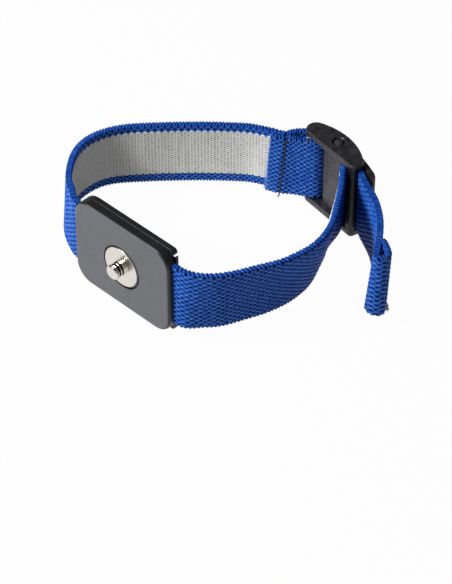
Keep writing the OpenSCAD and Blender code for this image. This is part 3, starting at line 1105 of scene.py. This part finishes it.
@dataclass(frozen=True)
class BandSection:
    """Rounded section of the band, open on the wrist side where the lining lies."""

    half_w: float = SIZES.band_w / 2
    half_t: float = SIZES.band_t / 2
    corner: float = 0.45
    floor: float = 0.34
    face_steps: int = 74
    selvedge: float = 0.9
    top: float = SIZES.lining_top - 0.4
    bottom: float = SIZES.lining_bottom + 0.3

    def outline(self) -> Array:
        """Lists the section's points.

        Returns:
            Rows of distance to the wrist side, height, and the outward normal's two parts.
        """
        w, t, r = self.half_w, self.half_t, self.corner
        rows = [(self.floor, z, 1, 0) for z in (0.0, self.top / 2, self.top - 0.1)]
        rows += [(t, z, 1, 0) for z in np.linspace(self.top, w - r, 9)]
        rows += self._corner(t - r, w - r, 0)
        rows += [(a, w, 0, 1) for a in np.linspace(t - r, r - t, 4)[1:]]
        rows += self._corner(r - t, w - r, 90)
        rows += [(-t, z, -1, 0) for z in np.linspace(w - r, r - w, self.face_steps + 1)[1:]]
        rows += self._corner(r - t, r - w, 180)
        rows += [(a, -w, 0, -1) for a in np.linspace(r - t, t - r, 4)[1:]]
        rows += self._corner(t - r, r - w, 270)
        rows += [(t, z, 1, 0) for z in np.linspace(r - w, self.bottom, 10)[1:]]
        rows += [(self.floor, z, 1, 0) for z in (self.bottom + 0.1, self.bottom / 2, 0.0)]
        return np.array(rows, float)

    def _corner(self, across: float, up: float, start: float) -> list[tuple[float, ...]]:
        """Lists a rounded corner's points after its first.

        Args:
            across: Its centre's distance to the wrist side.
            up: Its centre's height.
            start: The angle at which it starts, in degrees.

        Returns:
            Rows like the outline's.
        """
        normals = [turned((1.0, 0.0), start + 30 * step) for step in (1, 2, 3)]
        return [(across + self.corner * c, up + self.corner * s, c, s) for c, s in normals]


@dataclass
class KnittedBand:
    """Blue elastic band, with stitches on its faces and ribbed selvedges."""

    route: Route
    section: BandSection = field(default_factory=BandSection)
    stitch: Stitch = field(default_factory=Stitch)
    steps_per_column: int = 6
    face_depth: float = 0.28
    rib_depth: float = 0.3
    rib_shift: float = 0.35
    rib_sides: Point = (0.1, 0.45)
    rib_narrowing: float = 0.05
    chevron: float = 0.25
    tail_chevron: float = 1.6
    loop_end: Point = (12.0, 14.0)
    fleck_from: float = 0.985
    fleck_ease: float = 0.42
    end_corner: float = 2.4
    held_in: float = 0.1

    def relief(self, length: Array, across: Array, up: Array) -> dict[str, Array]:
        """Gives the knit's form at points on the band's outline.

        Args:
            length: Lengths along the band.
            across: Distances to the wrist side.
            up: Heights above the band's middle.

        Returns:
            The depth below the outline in millimetres, and layers for the shader.
        """
        column = self.route.column(length)
        rim = np.abs(up) - self.section.half_w + self.section.selvedge
        tail = self.route.past(Mark.FRONT_BAR, -14.0, -8.0, length)
        drawn = self.chevron * (1 + self.tail_chevron * tail)
        slant = column + drawn * (1 - np.abs(across) / self.section.half_t)
        odd = np.mod(np.round(slant), 2)
        apart = np.abs(slant - np.round(slant))
        edge = smooth(0.0, 0.25, rim - self.rib_shift * odd)
        low, high = (side - self.rib_narrowing * odd for side in self.rib_sides)
        rib = np.sqrt(smooth(low, high, apart))
        shape = self.stitch.relief(column, up) * (1 - edge) + rib * edge
        depth = (1 - shape) * (self.face_depth * (1 - edge) + self.rib_depth * edge) - 0.03
        loop = 1 - smooth(*self.loop_end, length)
        fold = self.route.past(Mark.FOLD, -1.5, -0.5, length)
        rare = self.fleck_from - self.fleck_ease * (loop + fold)
        likely = scatter(np.round(slant), np.sign(up)) > rare
        fleck = edge * (apart < 0.17) * likely * (across < 0) * (1 - smooth(0.72, 0.85, rim))
        wide = 1 - 0.6 * smooth(-0.75, -0.2, across)
        return {"depth": depth, "slant": slant, "rim": rim, "open": wide, "fleck": fleck}

    def sewn(self, length: Array) -> Array:
        """Gives how far a seam pulls the knit in, in millimetres."""
        seams = (Mark.FLAP_STITCH, Mark.START_STITCH)
        return SIZES.seam_pull * sum(self.route.near(mark, 0.4, length) for mark in seams)

    def form(self, column: Array, points: Array) -> tuple[Array, dict[str, Array]]:
        """Places the knit's surface.

        Args:
            column: Columns along the band.
            points: Points of the section's outline.

        Returns:
            Points in millimetres, and the layers for the shader.
        """
        length = self.route.length_at(column)
        across, up, out, rise = points.T
        layers = self.relief(length, across, up)
        held = self.route.within(1.2, 2.0, length)
        sink = (layers.pop("depth") + self.sewn(length)) * (1 - held) + self.held_in * held
        buried = (across < self.section.floor + 0.05) & (out > 0.9)
        sink = np.where(buried, 0.0, sink)
        lift = self.route.rounded_end(length, up, self.end_corner)
        length = length + self.route.skewed(length, up)
        layers["frayed"] = 0.45 * np.exp(-np.clip(length, 0, 9) / 0.2)
        return self.route.place(length, across - out * sink, up - rise * sink + lift), layers

    def build(self) -> None:
        """Builds the band in two stretches that meet inside the housing."""
        finish = KnitFinish().material()
        middle = (self.route.at(Mark.HOUSING_IN) + self.route.at(Mark.HOUSING_OUT)) / 2
        seam = float(np.round(self.route.column(middle)))
        stretches = {
            "band_loop_and_back": (0.0, seam),
            "band_front_and_tail": (seam, float(self.route.last_column)),
        }
        outline, steps, row = self.section.outline(), self.steps_per_column, self.stitch.row
        for name, span in stretches.items():
            made = wrapped(name, outline, span, steps, row, self.form, finish)
            placed(Body.STRAP, Slot.KNIT_BAND, made, "elastic_band")


@dataclass
class ConductiveLining:
    """Pale conductive knit on the band's wrist side."""

    route: Route
    row: float = 0.66
    rows_up: int = 84
    steps_per_column: int = 4
    top: float = SIZES.lining_top + 0.15
    bottom: float = SIZES.lining_bottom - 0.15
    face: float = 0.85
    rear: float = 0.37
    depth: float = 0.08
    rolled: float = 0.22
    held_in: float = 0.12
    scallop: float = 0.42
    end_corner: float = 2.8

    def form(self, column: Array, points: Array) -> tuple[Array, dict[str, Array]]:
        """Places the lining's surface.

        Args:
            column: Columns along the band.
            points: Points of the lining's outline.

        Returns:
            Points in millimetres, and no layers.
        """
        length = self.route.length_at(column)
        across, up = points.T
        into = np.minimum(self.top - up, up - self.bottom)
        rise = up / self.row - 0.5 * np.mod(np.round(column), 2)
        gap = (2 * (column - np.round(column))) ** 2 + (3 * (rise - np.round(rise))) ** 2
        sink = self.depth * (1 - smooth(0.0, 1.0, gap))
        sink = sink + self.rolled * (1 - smooth(0.0, 0.3, into)) ** 2
        sink = sink + self.held_in * self.route.within(0.0, 2.0, length)
        across = across - np.where(across > self.rear + 0.05, sink, 0.0)
        fold = 1 - np.abs(np.mod(column, 2) - 1)
        drawn = self.scallop * fold * (1 - smooth(0.0, 1.2, into)) * np.sign(up)
        lift = self.route.rounded_end(length, up, self.end_corner)
        along = length + self.route.skewed(length, up)
        return self.route.place(along, across, up - drawn + lift), {}

    def build(self) -> None:
        """Builds the lining as one thin sheet."""
        rows = [(self.rear, self.bottom), (self.rear, 0.0), (self.rear, self.top)]
        rows += [(self.face, z) for z in np.linspace(self.top, self.bottom, self.rows_up)]
        outline, span = np.array([*rows, rows[0]]), (0, self.route.last_column)
        finish = LiningFinish().material()
        steps = self.steps_per_column
        made = wrapped("band_lining", outline, span, steps, self.row, self.form, finish)
        placed(Body.STRAP, Slot.CONDUCTIVE_KNIT, made, "conductive_lining")


@dataclass
class Sewing:
    """Rows of sewing thread through the loop and the folded tail, by their length and lift."""

    route: Route
    pitch: float = 1.55
    radius: float = 0.16
    outside: float = -SIZES.band_t / 2
    flap_row: Point = (18.6, -0.3)
    start_row: Point = (18.0, 0.0)
    tail_row: Point = (15.5, 0.0)
    sharp_from: float = 60.0

    def row(self, length: float, across: float, span: float, lift: float) -> list[BMesh]:
        """Builds a row of stitches across the band.

        Args:
            length: Place of the row along the band.
            across: Distance of its threads from the band's middle.
            span: Length of the row.
            lift: Height of its middle above the band's.

        Returns:
            One shape for each stitch.
        """
        count = int(span / self.pitch)
        form = Matrix.Diagonal((self.radius * 1.15, self.radius, self.pitch * 0.56, 1.0))
        parts = []
        for step in range(count):
            up = lift + (step - (count - 1) / 2) * self.pitch
            wobble = 0.05 * math.sin(step * 2.4)
            slant = float(self.route.skewed(np.array([length]), np.array([up]))[0])
            place = self.route.ring_matrix(length + wobble + slant, across, up) @ form
            grain = bmesh.new()
            bmesh.ops.create_uvsphere(grain, u_segments=10, v_segments=10, radius=1.0, matrix=place)
            parts.append(grain)
        return parts

    def build(self) -> None:
        """Builds the loop's black row and the tail's blue one."""
        black = ThreadFinish("black_thread", linear(8, 8, 10), linear(38, 38, 42)).material()
        blue = ThreadFinish("navy_thread", linear(10, 18, 56), linear(30, 52, 130)).material()
        flap, start = self.route.at(Mark.FLAP_STITCH), self.route.at(Mark.START_STITCH)
        sunk = self.outside + self.radius
        parts = self.row(flap, sunk, *self.flap_row) + self.row(start, sunk, *self.start_row)
        place = self.route.ring_matrix(flap - 0.85, self.outside - 0.05, -9.3)
        end = cone((0.1, 0.14), 1.3, place @ Matrix.Rotation(0.35, 4, "Y"), 8)
        loop = joined([*parts, end])
        fitted(Slot.THREAD, "loop_stitching", "loop_seam", loop, black, self.sharp_from)
        tail = self.route.at(Mark.TAIL_STITCH)
        hem = joined(self.row(tail, self.outside + 0.12, *self.tail_row))
        fitted(Slot.THREAD, "tail_stitching", "tail_seam", hem, blue, self.sharp_from)


@dataclass
class LooseYarn:
    """Short yarn ends on the flap's cut edge, and loose lining fibres under the tail's fold."""

    route: Route
    count: int = 64
    fibres: int = 90
    half_span: float = 8.7
    thick: float = 0.12
    thin: float = 0.06
    sharp_from: float = 60.0

    def build_ends(self) -> None:
        """Builds the yarn ends of the flap."""
        rng = np.random.default_rng(7)
        parts = []
        for step in range(self.count):
            up = self.half_span * (2 * (step + 0.5) / self.count - 1)
            across = rng.uniform(-0.55, 0.45)
            long = rng.uniform(0.3, 0.75)
            place = self.route.ring_matrix(SIZES.seam_slant * up - long * 0.3, across, up)
            turn = rotation(-90 + rng.uniform(-32, 32), "Y")
            turn = rotation(rng.uniform(-25, 25), "Z") @ turn
            parts.append(cone((self.thick, self.thin), long, place @ turn))
        blue = ThreadFinish("frayed_yarn", linear(58, 112, 204), linear(140, 180, 236)).material()
        ends = joined(parts)
        fitted(Slot.KNIT_BAND, "elastic_band", "flap_yarn_ends", ends, blue, self.sharp_from)

    def build_tuft(self) -> None:
        """Builds the loose fibres of the tail."""
        rng = np.random.default_rng(11)
        parts = []
        for _ in range(self.fibres):
            length = self.route.total - rng.uniform(3.0, 4.6)
            long = rng.uniform(0.6, 1.3)
            turn = rotation(rng.uniform(-80, 0), "X")
            turn = turn @ rotation(rng.uniform(-50, 50), "Y")
            place = self.route.ring_matrix(length, rng.uniform(-0.8, -0.3), -8.8) @ turn
            place = place @ Matrix.Translation((0.0, 0.0, -long / 2))
            parts.append(cone((self.thin, self.thick), long, place))
        pale = ThreadFinish("loose_lining_fibre", linear(204, 206, 210), linear(246, 246, 248))
        slot, tuft = Slot.CONDUCTIVE_KNIT, joined(parts)
        fitted(slot, "conductive_lining", "tail_tuft", tuft, pale.material(), self.sharp_from)

    def build(self) -> None:
        """Builds both."""
        self.build_ends()
        self.build_tuft()


# --- Housing ---


@dataclass
class Housing:
    """Two-part plastic housing that clamps the band behind the press stud."""

    lip: float = 0.35
    tooth_rise: float = 1.5
    notch: Point = (1.5, 2.0)
    recess_r: float = 5.9
    recess_shift: float = 0.18
    recess_depth: float = 0.1
    ring_w: float = 0.46
    facets: int = 96

    def plate(self, near: float, far: float, roundings: Point, end_r: float, inset: float) -> BMesh:
        """Makes a rounded plate of the housing's outline.

        Args:
            near: Depth of its front behind the face.
            far: Depth of its back.
            roundings: Rounding of the front edge and of the back edge.
            end_r: Corner radius of its right end.
            inset: How much shorter it is at that end.

        Returns:
            The plate.
        """
        s = SIZES
        centre = (s.stud_x - inset / 2, s.face_y + (near + far) / 2, s.stud_z)
        mesh = box((s.housing_l - inset, far - near, s.housing_h), centre)
        for side, radius in ((-1, s.housing_r), (1, end_r)):
            corners = [
                e
                for e in mesh.edges
                if abs((e.verts[0].co - e.verts[1].co).y) > 0.1
                and (e.verts[0].co.x - s.stud_x) * side > s.housing_l / 2 - 1.5
            ]
            bevelled(mesh, corners, radius, 12)
        for depth, size, steps in zip((near, far), roundings, (5, 3)):
            at = s.face_y + depth
            rim = [e for e in mesh.edges if all(abs(v.co.y - at) < 1e-4 for v in e.verts)]
            bevelled(mesh, rim, size, steps)
        return mesh

    def bore(self, radius: float, near: float, far: float, shift: float = 0.0) -> Thing:
        """Makes a round cutter near the stud's axis."""
        place = SIZES.on_stud((near + far) / 2, shift)
        return piece("bore", cone((radius, radius), far - near, place, self.facets))

    def groove(self) -> Thing:
        """Makes the cutter of the narrow groove round the recess's floor.

        Returns:
            The cutter.
        """
        inner, foot = self.recess_r - self.ring_w, -self.recess_depth - 0.4
        outline = [(inner, foot), (self.recess_r, foot), (self.recess_r, 0.5), (inner, 0.5)]
        mesh = spun([*outline, outline[0]], 0.0, self.facets)
        return piece("groove", moved(mesh, SIZES.on_stud(0.0, self.recess_shift)))

    def slot(self, near: float, far: float) -> Thing:
        """Makes the cutter of the band's slot, between two depths."""
        centre = (SIZES.stud_x, SIZES.face_y + (near + far) / 2, SIZES.stud_z)
        return piece("slot", box((SIZES.housing_l + 6, far - near, SIZES.slot_w), centre))

    def build_cover(self) -> None:
        """Builds the front half: slate face, black sides, and a black ring of painted shade in the
        recess's groove.
        """
        s = SIZES
        slate = PlasticFinish("slate_plastic", linear(89, 90, 95), linear(103, 104, 109), 0.5, 0.18)
        dark, lighter = linear(19, 20, 22), linear(48, 49, 52)
        black = PlasticFinish("housing_black_plastic", dark, lighter, 0.46)
        shell = self.plate(0.0, s.cover_t, (0.8, 0.12), s.housing_r, 0.0)
        cover = piece("housing_front", shell, slate.material(), black.material())
        carve(
            cover,
            self.bore(self.recess_r - 0.1, -1.0, self.recess_depth, self.recess_shift),
            self.groove(),
            self.bore(s.bore_r, -1.0, 3.0),
            self.slot(s.face_wall, s.cover_t + 1),
        )
        # Faces deeper than the recess's floor take the black plastic as a painted shadow ring round
        # the disc; faces that do not look to the front take it as the housing's black sides.
        for face in cover.data.polygons:
            sunk = face.center.y / MM > s.face_y + self.recess_depth + 0.05
            face.material_index = 1 if sunk or face.normal.y > -0.55 else 0
        placed(Body.STRAP, Slot.HOUSING_SLATE, shaded(cover), "housing_cover")

    def build_back(self) -> None:
        """Builds the rear half, with a lip behind the band at one mouth of the slot."""
        s = SIZES
        dark, lighter = linear(24, 25, 28), linear(46, 47, 50)
        black = PlasticFinish("rear_black_plastic", dark, lighter, 0.42).material()
        shell = self.plate(s.cover_t, s.housing_t, (0.12, 0.3), s.rear_r, s.rear_inset)
        back = piece("housing_rear", shell, black)
        end = s.stud_x + s.housing_l / 2 - s.rear_inset
        long, tall = self.notch
        centre = (end - long / 2 + 0.5, s.face_y + 3.4, s.stud_z + (s.slot_w + tall) / 2)
        carve(
            back,
            self.slot(s.cover_t - 1, s.face_wall + s.slot_t),
            self.bore(s.bore_r, 0.0, s.housing_t + 1),
            piece("notch", box((long + 1, 4.0, tall), centre)),
        )
        placed(Body.STRAP, Slot.HOUSING_BLACK, shaded(back), "housing_back")
        low, high, tip = s.stud_z - s.slot_w / 2, s.stud_z + s.slot_w / 2, end + self.lip
        outline = [(end - 3, low), (tip, low), (tip, high + self.tooth_rise)]
        outline += [(end - 0.5, high + self.tooth_rise / 2)]
        outline += [(end - long / 2, high - 0.3), (end - 3, high - 0.3)]
        lip = profile_plate(outline, -s.housing_t + 0.2, -s.face_wall - s.slot_t)
        bevelled(lip, lip.edges, 0.08, 1)
        moved(lip, Matrix.Translation((0, s.face_y, 0)) @ rotation(90, "X"))
        fitted(Slot.HOUSING_BLACK, "housing_back", "slot_lip", lip, black)

    def build(self) -> None:
        """Builds both halves."""
        self.build_cover()
        self.build_back()


# --- Press stud ---


@dataclass
class PressStud:
    """Turned press stud, its flange disc, and the rivet with the contact disc behind."""

    flange_r: float = 5.3
    flange_t: float = 0.55
    contact_t: float = 0.5
    height: float = 3.0
    head_r: float = 1.92
    neck_r: float = 1.28
    shank_r: float = 1.08
    axis: Triple = (SIZES.stud_x, SIZES.face_y, SIZES.stud_z)

    def build_disc(self, satin: Material) -> None:
        """Builds the flange disc in the housing's recess.

        Args:
            satin: Its finish.
        """
        hole, r, t = SIZES.bore_r, self.flange_r, self.flange_t
        disc = spun([(hole, 0), (r, 0), (r, t), (hole, t), (hole, 0)], 0.1, 120)
        moved(disc, SIZES.on_stud(t - SIZES.flange_rise))
        fitted(Slot.NICKEL, "stud_flange", "stud_disc", disc, satin)

    def build_stud(self, polished: Material) -> None:
        """Builds the stud, with painted shade in its turned grooves.

        Args:
            polished: Finish of the rest.
        """
        # Dark brown metal for the necks behind the collars and the head: painted shade where the
        # larger rings hide them.
        brown, lighter = linear(52, 42, 38), linear(96, 84, 76)
        painted_groove_shade = NickelFinish("groove_painted_shade", self.axis, 0.3, brown, lighter).material()
        top, head, neck = self.height, self.head_r, self.neck_r
        profile = [(0, 0), (1.9, 0), (1.9, 0.6), (1.5, 0.72), (1.4, 0.98), (1.8, 1.12)]
        profile += [(1.8, 1.42), (1.42, 1.52), (neck, 1.78), (neck, top - 1.3)]
        profile += [(neck + 0.06, top - 1.08), (head, top - 0.92), (head, top - 0.42)]
        profile += [(head - 0.08, top - 0.22), (head - 0.26, top - 0.07), (head - 0.5, top)]
        stud = moved(spun([*profile, (0, top)], 0.06, 96), SIZES.on_stud(-SIZES.flange_rise))
        button = piece("press_stud", stud, polished, painted_groove_shade)
        # Faces on the necks take the painted shade.
        for face in button.data.polygons:
            rise = SIZES.face_y - SIZES.flange_rise - face.center.y / MM
            necks = ((0.62, 1.08), (1.44, 1.8), (top - 1.28, top - 0.9))
            face.material_index = int(any(low < rise < high for low, high in necks))
        placed(Body.STRAP, Slot.NICKEL, shaded(button, 50), "snap_stud")

    def build_rear(self, satin: Material, polished: Material) -> None:
        """Builds the disc on the skin side and the rivet that holds it.

        Args:
            satin: The disc's finish.
            polished: The rivet's finish.
        """
        hole, r, t, back = SIZES.bore_r, self.flange_r, self.contact_t, SIZES.housing_t
        edge = [(r, 0), (r, t - 0.15), (r - 0.15, t)]
        contact = spun([(hole, 0), *edge, (hole, t), (hole, 0)], 0.06, 120)
        moved(contact, SIZES.on_stud(back, degrees=-90))
        fitted(Slot.NICKEL, "contact_disc", "skin_contact", contact, satin)
        head = [(2.2, 0), (2.1, 0.2), (1.7, 0.38), (1.1, 0.45), (0, 0.45)]
        shank = [(0, -3.0), (self.shank_r, -3.0), (self.shank_r, 0.02)]
        rivet = spun([*shank, *head], 0.05, 72)
        moved(rivet, SIZES.on_stud(back + t, degrees=-90))
        fitted(Slot.NICKEL, "rivet", "rivet_head", rivet, polished, 45)

    def build(self) -> None:
        """Builds the four metal pieces."""
        polished = NickelFinish("polished_nickel", self.axis, 0.12).material()
        satin = NickelFinish("satin_nickel", self.axis, 0.27).material()
        self.build_disc(satin)
        self.build_stud(polished)
        self.build_rear(satin, polished)


# --- Buckle ---


@dataclass
class CamBuckle:
    """Black buckle: two arched cheeks, two bars and a lever with a toothed nose."""

    pivot: Point = (-1.05, 3.5)
    pivot_r: float = 1.5
    pivot_play: float = 0.05
    lever_gap: float = 0.15
    reach: float = 14.4
    plate_t: float = 1.4
    nose_r: float = 4.4
    teeth: int = 4
    tooth_depth: float = 0.35
    crown: Point = (-0.35, -11.4)
    crown_r: float = 18.0
    end_radii: Triple = (2.55, 2.1, 1.0)
    rib_heading: float = 200.9
    rib_reach: float = 1.12
    rib_r: float = 0.5
    flute: float = 0.02

    def finish(self) -> Material:
        """Makes the buckle's plastic."""
        dark, lighter = linear(24, 24, 28), linear(90, 90, 96)
        return PlasticFinish("buckle_black_plastic", dark, lighter, 0.4, 0.3, 0.7, 0.24).material()

    def at_pivot(self, height: float) -> Matrix:
        """Places a shape on the lever's pivot, at a height."""
        return Matrix.Translation((*self.pivot, height))

    def cheek(self, low: float) -> BMesh:
        """Makes one solid cheek, with softened edges.

        Args:
            low: Height of its underside.

        Returns:
            The cheek, in the buckle's axes.
        """
        (x0, x1), crown = SIZES.cheek_ends, self.crown
        back_r, front_r, foot_r = self.end_radii
        back, front, foot = (x0 + back_r, 1.95), (x1 - front_r, 2.65), (x1 - foot_r, 1.55)
        run = (foot[0] - back[0], foot[1] - back[1])
        lift = math.asin((back_r - foot_r) / math.hypot(*run))
        slant = math.degrees(math.atan2(run[1], run[0]) + lift)
        from_back = math.degrees(math.atan2(back[1] - crown[1], back[0] - crown[0]))
        from_front = math.degrees(math.atan2(front[1] - crown[1], front[0] - crown[0]))
        outline = arc(foot, foot_r, slant - 90, 0, 5)
        outline += arc(front, front_r, 0, from_front, 9)[:-1]
        outline += arc(crown, self.crown_r, from_front, from_back, 26)
        outline += arc(back, back_r, from_back, slant + 270, 16)[1:]
        mesh = profile_plate(outline, low, low + SIZES.cheek_t)
        bevelled(mesh, rims(mesh), 0.32, 3)
        return mesh

    def bars(self) -> BMesh:
        """Makes the round back bar and the fluted front bar with its rib.

        Returns:
            Both bars, in the buckle's axes.
        """
        s = SIZES
        low, high = s.cheek_t / 2, s.buckle_h - s.cheek_t / 2
        rear = profile_plate(arc(s.back_bar, s.back_bar_r, 0, 350, 35), low, high)
        x, y = s.front_bar
        spread = math.degrees(math.asin(self.rib_r / s.front_bar_r))
        outline = []
        for step in range(97):
            angle = self.rib_heading + spread + (360 - 2 * spread) * step / 96
            fluted = 1 - self.flute * (1 - math.cos(math.radians(angle * 16)))
            dx, dy = turned((s.front_bar_r * fluted, 0), angle)
            outline.append((x + dx, y + dy))
        dx, dy = turned((self.rib_reach, 0), self.rib_heading)
        start, end = self.rib_heading - 90, self.rib_heading + 90
        outline += arc((x + dx, y + dy), self.rib_r, start, end, 12)
        return joined([rear, profile_plate(outline, low, high)])

    def build_frame(self) -> None:
        """Builds the cheeks with their pivot holes, and the bars."""
        lows = (0.0, SIZES.buckle_h - SIZES.cheek_t)
        cheeks = piece("buckle_cheeks", joined([self.cheek(low) for low in lows]), self.finish())
        r, t, e = self.pivot_r + self.pivot_play, SIZES.cheek_t, 0.12
        profile = [(0, -1), (r + e + 1, -1), (r + e, 0), (r, e), (r, t - e), (r + e, t)]
        profile += [(r + e + 1, t + 1), (0, t + 1)]
        holes = [moved(spun(profile, 0.0, 64), self.at_pivot(low)) for low in lows]
        carve(cheeks, *(piece("hole", hole) for hole in holes))
        cheeks.data.transform(AXES.matrix())
        placed(Body.STRAP, Slot.BUCKLE_BLACK, shaded(cheeks), "buckle_frame")
        # The bars take a darker copy of the buckle's plastic: painted shade where they sit between
        # the cheeks and the band.
        dull = PlasticFinish("bar_plastic_painted_shade", linear(5, 5, 7), linear(18, 18, 20), 0.55)
        rods = piece("buckle_bars", self.bars(), dull.material())
        rods.data.transform(AXES.matrix())
        placed(Body.STRAP, Slot.BUCKLE_BLACK, shaded(rods), "buckle_frame")

    def lever_outline(self) -> list[Point]:
        """Lists the corners of the lever's side view about its pivot.

        Returns:
            The corners.
        """
        r, step, t = self.nose_r, 26 / self.teeth, self.plate_t
        nose: list[Point] = []
        for tooth in range(self.teeth):
            nose.append(turned((r - self.tooth_depth, 0), step * tooth - 30))
            nose.append(turned((r, 0), step * (tooth + 0.5) - 30))
        under = [(r - 0.5, -0.35), (5.0, 0.5), (7.0, 2.55 - t), (10.3, 2.1 - t)]
        under += [(self.reach - 1.9, 1.65 - t)]
        tip = arc((self.reach - 0.6, 0.5), 0.6, -60, 75, 6)
        top = [(12.9, 1.6), (10.3, 2.1), (7.2, 2.55), (4.6, 2.86), (2.0, 3.1), (0.0, 3.1)]
        heel = [(-2.6, -1.15), (-2.6, -2.3), (3.0, -2.3)]
        return [*heel, *nose, *under, *tip, *top, *arc((0, 0), 2.3, 125, 205, 8)]

    def stub(self, side: int) -> BMesh:
        """Makes a pivot stub whose stepped end has a ramp on one half.

        Args:
            side: 1 for the upper stub, -1 for the lower.

        Returns:
            The stub, in the buckle's axes.
        """
        rise = SIZES.cheek_t + self.lever_gap - 0.15
        r, thin, step = self.pivot_r, self.pivot_r - 0.42, rise - 0.9
        profile = [(0, -1.0), (r, -1.0), (r, step), (thin, step), (thin, rise), (0, rise)]
        mesh = spun(profile, 0.03, 64)
        ramp = bmesh.ops.bisect_plane(
            mesh,
            geom=mesh.verts[:] + mesh.edges[:] + mesh.faces[:],
            plane_co=(0.0, -0.05, rise),
            plane_no=Vector((0.06, -0.5, 1.0)).normalized(),
            clear_outer=True,
        )
        cut = [g for g in ramp["geom_cut"] if isinstance(g, bmesh.types.BMEdge)]
        bmesh.ops.edgeloop_fill(mesh, edges=cut)
        ridge = [
            e
            for e in mesh.edges
            if all(abs(v.co.z - rise) < 1e-3 and abs(v.co.y) < 0.3 for v in e.verts)
            and e.calc_length() > 1.0
        ]
        bevelled(mesh, ridge, 0.13, 2)
        reach = SIZES.buckle_h / 2 - SIZES.cheek_t - self.lever_gap
        bmesh.ops.scale(mesh, vec=(1, 1, side), verts=mesh.verts)
        moved(mesh, self.at_pivot(SIZES.buckle_h / 2 + side * reach))
        bmesh.ops.recalc_face_normals(mesh, faces=mesh.faces)
        return mesh

    def build_lever(self) -> None:
        """Builds the lever with its toothed nose and pivot stubs."""
        low = SIZES.cheek_t + self.lever_gap
        plate = profile_plate(self.lever_outline(), low, SIZES.buckle_h - low)
        bevelled(plate, rims(plate), 0.18, 2)
        moved(plate, self.at_pivot(0.0))
        shapes = joined([plate, self.stub(1), self.stub(-1)])
        lever = piece("cam_lever_plate", shapes, self.finish())
        lever.data.transform(AXES.matrix())
        placed(Body.LEVER, Slot.BUCKLE_BLACK, shaded(lever), "cam_lever")

    def build(self) -> None:
        """Builds the frame and the lever."""
        self.build_frame()
        self.build_lever()


# --- Studio ---


@dataclass(frozen=True)
class SoftLight:
    """Square soft box that faces the strap."""

    name: str
    place: Triple
    size: float
    share: float
    aim: Triple = (0.0, 0.0, 12.0)

    def build(self) -> None:
        """Adds the light; its share of the plain level sets its power."""
        aim, spot = Vector(self.aim) * MM, Vector(self.place) * MM
        lamp = bpy.data.lights.new(self.name, "AREA")
        lamp.size = self.size * MM
        lamp.energy = self.share * math.pi**2 * (spot - aim).length_squared
        made = linked(self.name, lamp)
        made.location = spot
        made.rotation_euler = (aim - spot).to_track_quat("-Z", "Y").to_euler()


@dataclass
class Studio:
    """Pale floor, plain soft light and the camera."""

    camera_place: Triple = (304.0, -313.0, 384.7)
    camera_turn: Triple = (47.79, 0.0, 44.4)
    lens: float = 147.95
    lights: tuple[SoftLight, ...] = (
        SoftLight("key_soft_box", (-225.0, -385.0, 450.0), 220.0, 1.3),
        SoftLight("side_soft_box", (540.0, -260.0, 330.0), 380.0, 0.04),
    )

    def build_camera(self) -> None:
        """Adds the camera."""
        lens = bpy.data.cameras.new("camera")
        lens.lens = self.lens
        lens.sensor_width = 36.0
        lens.clip_start = 0.01
        view = linked("camera", lens)
        view.location = Vector(self.camera_place) * MM
        view.rotation_euler = tuple(math.radians(turn) for turn in self.camera_turn)
        bpy.context.scene.camera = view

    def build_floor(self) -> None:
        """Adds the floor, which looks white but keeps the strap's shadow."""
        material = bpy.data.materials.new("pale_floor")
        maker = NodeMaker(material)
        speck = maker.noise(maker.coordinates(), 40.0)
        paper = maker.mix(speck * 0.2, linear(206, 206, 207), linear(202, 202, 204))
        diffuse = maker.add("BsdfDiffuse", {"Color": paper})
        glow = maker.add("Emission", {"Color": (1.0, 1.0, 1.0), "Strength": 1.0})
        seen = maker.node("LightPath", {}).outputs
        rays = Wire(maker, seen["Is Camera Ray"]) + Wire(maker, seen["Is Glossy Ray"])
        mixed = maker.add("MixShader", {0: rays.clipped() * 0.97, 1: diffuse, 2: glow})
        maker.node("OutputMaterial", {"Surface": mixed})
        mesh = bmesh.new()
        bmesh.ops.create_grid(mesh, x_segments=1, y_segments=1, size=3000.0)
        floor = piece("floor", mesh, material)

    def build_world(self) -> None:
        """Sets the plain surroundings."""
        world = bpy.data.worlds.new("studio")
        bpy.context.scene.world = world
        maker = NodeMaker(world)
        seen = maker.add("LightPath", {}, "Is Camera Ray")
        inputs = {"Color": (1.0, 1.0, 1.0), "Strength": seen * 0.92 + 0.08}
        maker.node("OutputWorld", {"Surface": maker.add("Background", inputs)})

    def build(self) -> None:
        """Builds the whole studio."""
        bpy.context.scene.view_settings.view_transform = "Standard"
        self.build_camera()
        self.build_floor()
        self.build_world()
        for light in self.lights:
            light.build()


def main() -> None:
    """Builds every sub-assembly in order."""
    logging.basicConfig(level=logging.INFO, format="%(message)s")
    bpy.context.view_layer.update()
    route = Route()
    LOG.info("route: %.1f mm", route.total)
    Studio().build()
    KnittedBand(route).build()
    ConductiveLining(route).build()
    Sewing(route).build()
    LooseYarn(route).build()
    Housing().build()
    PressStud().build()
    CamBuckle().build()


if __name__ == "__main__":
    main()
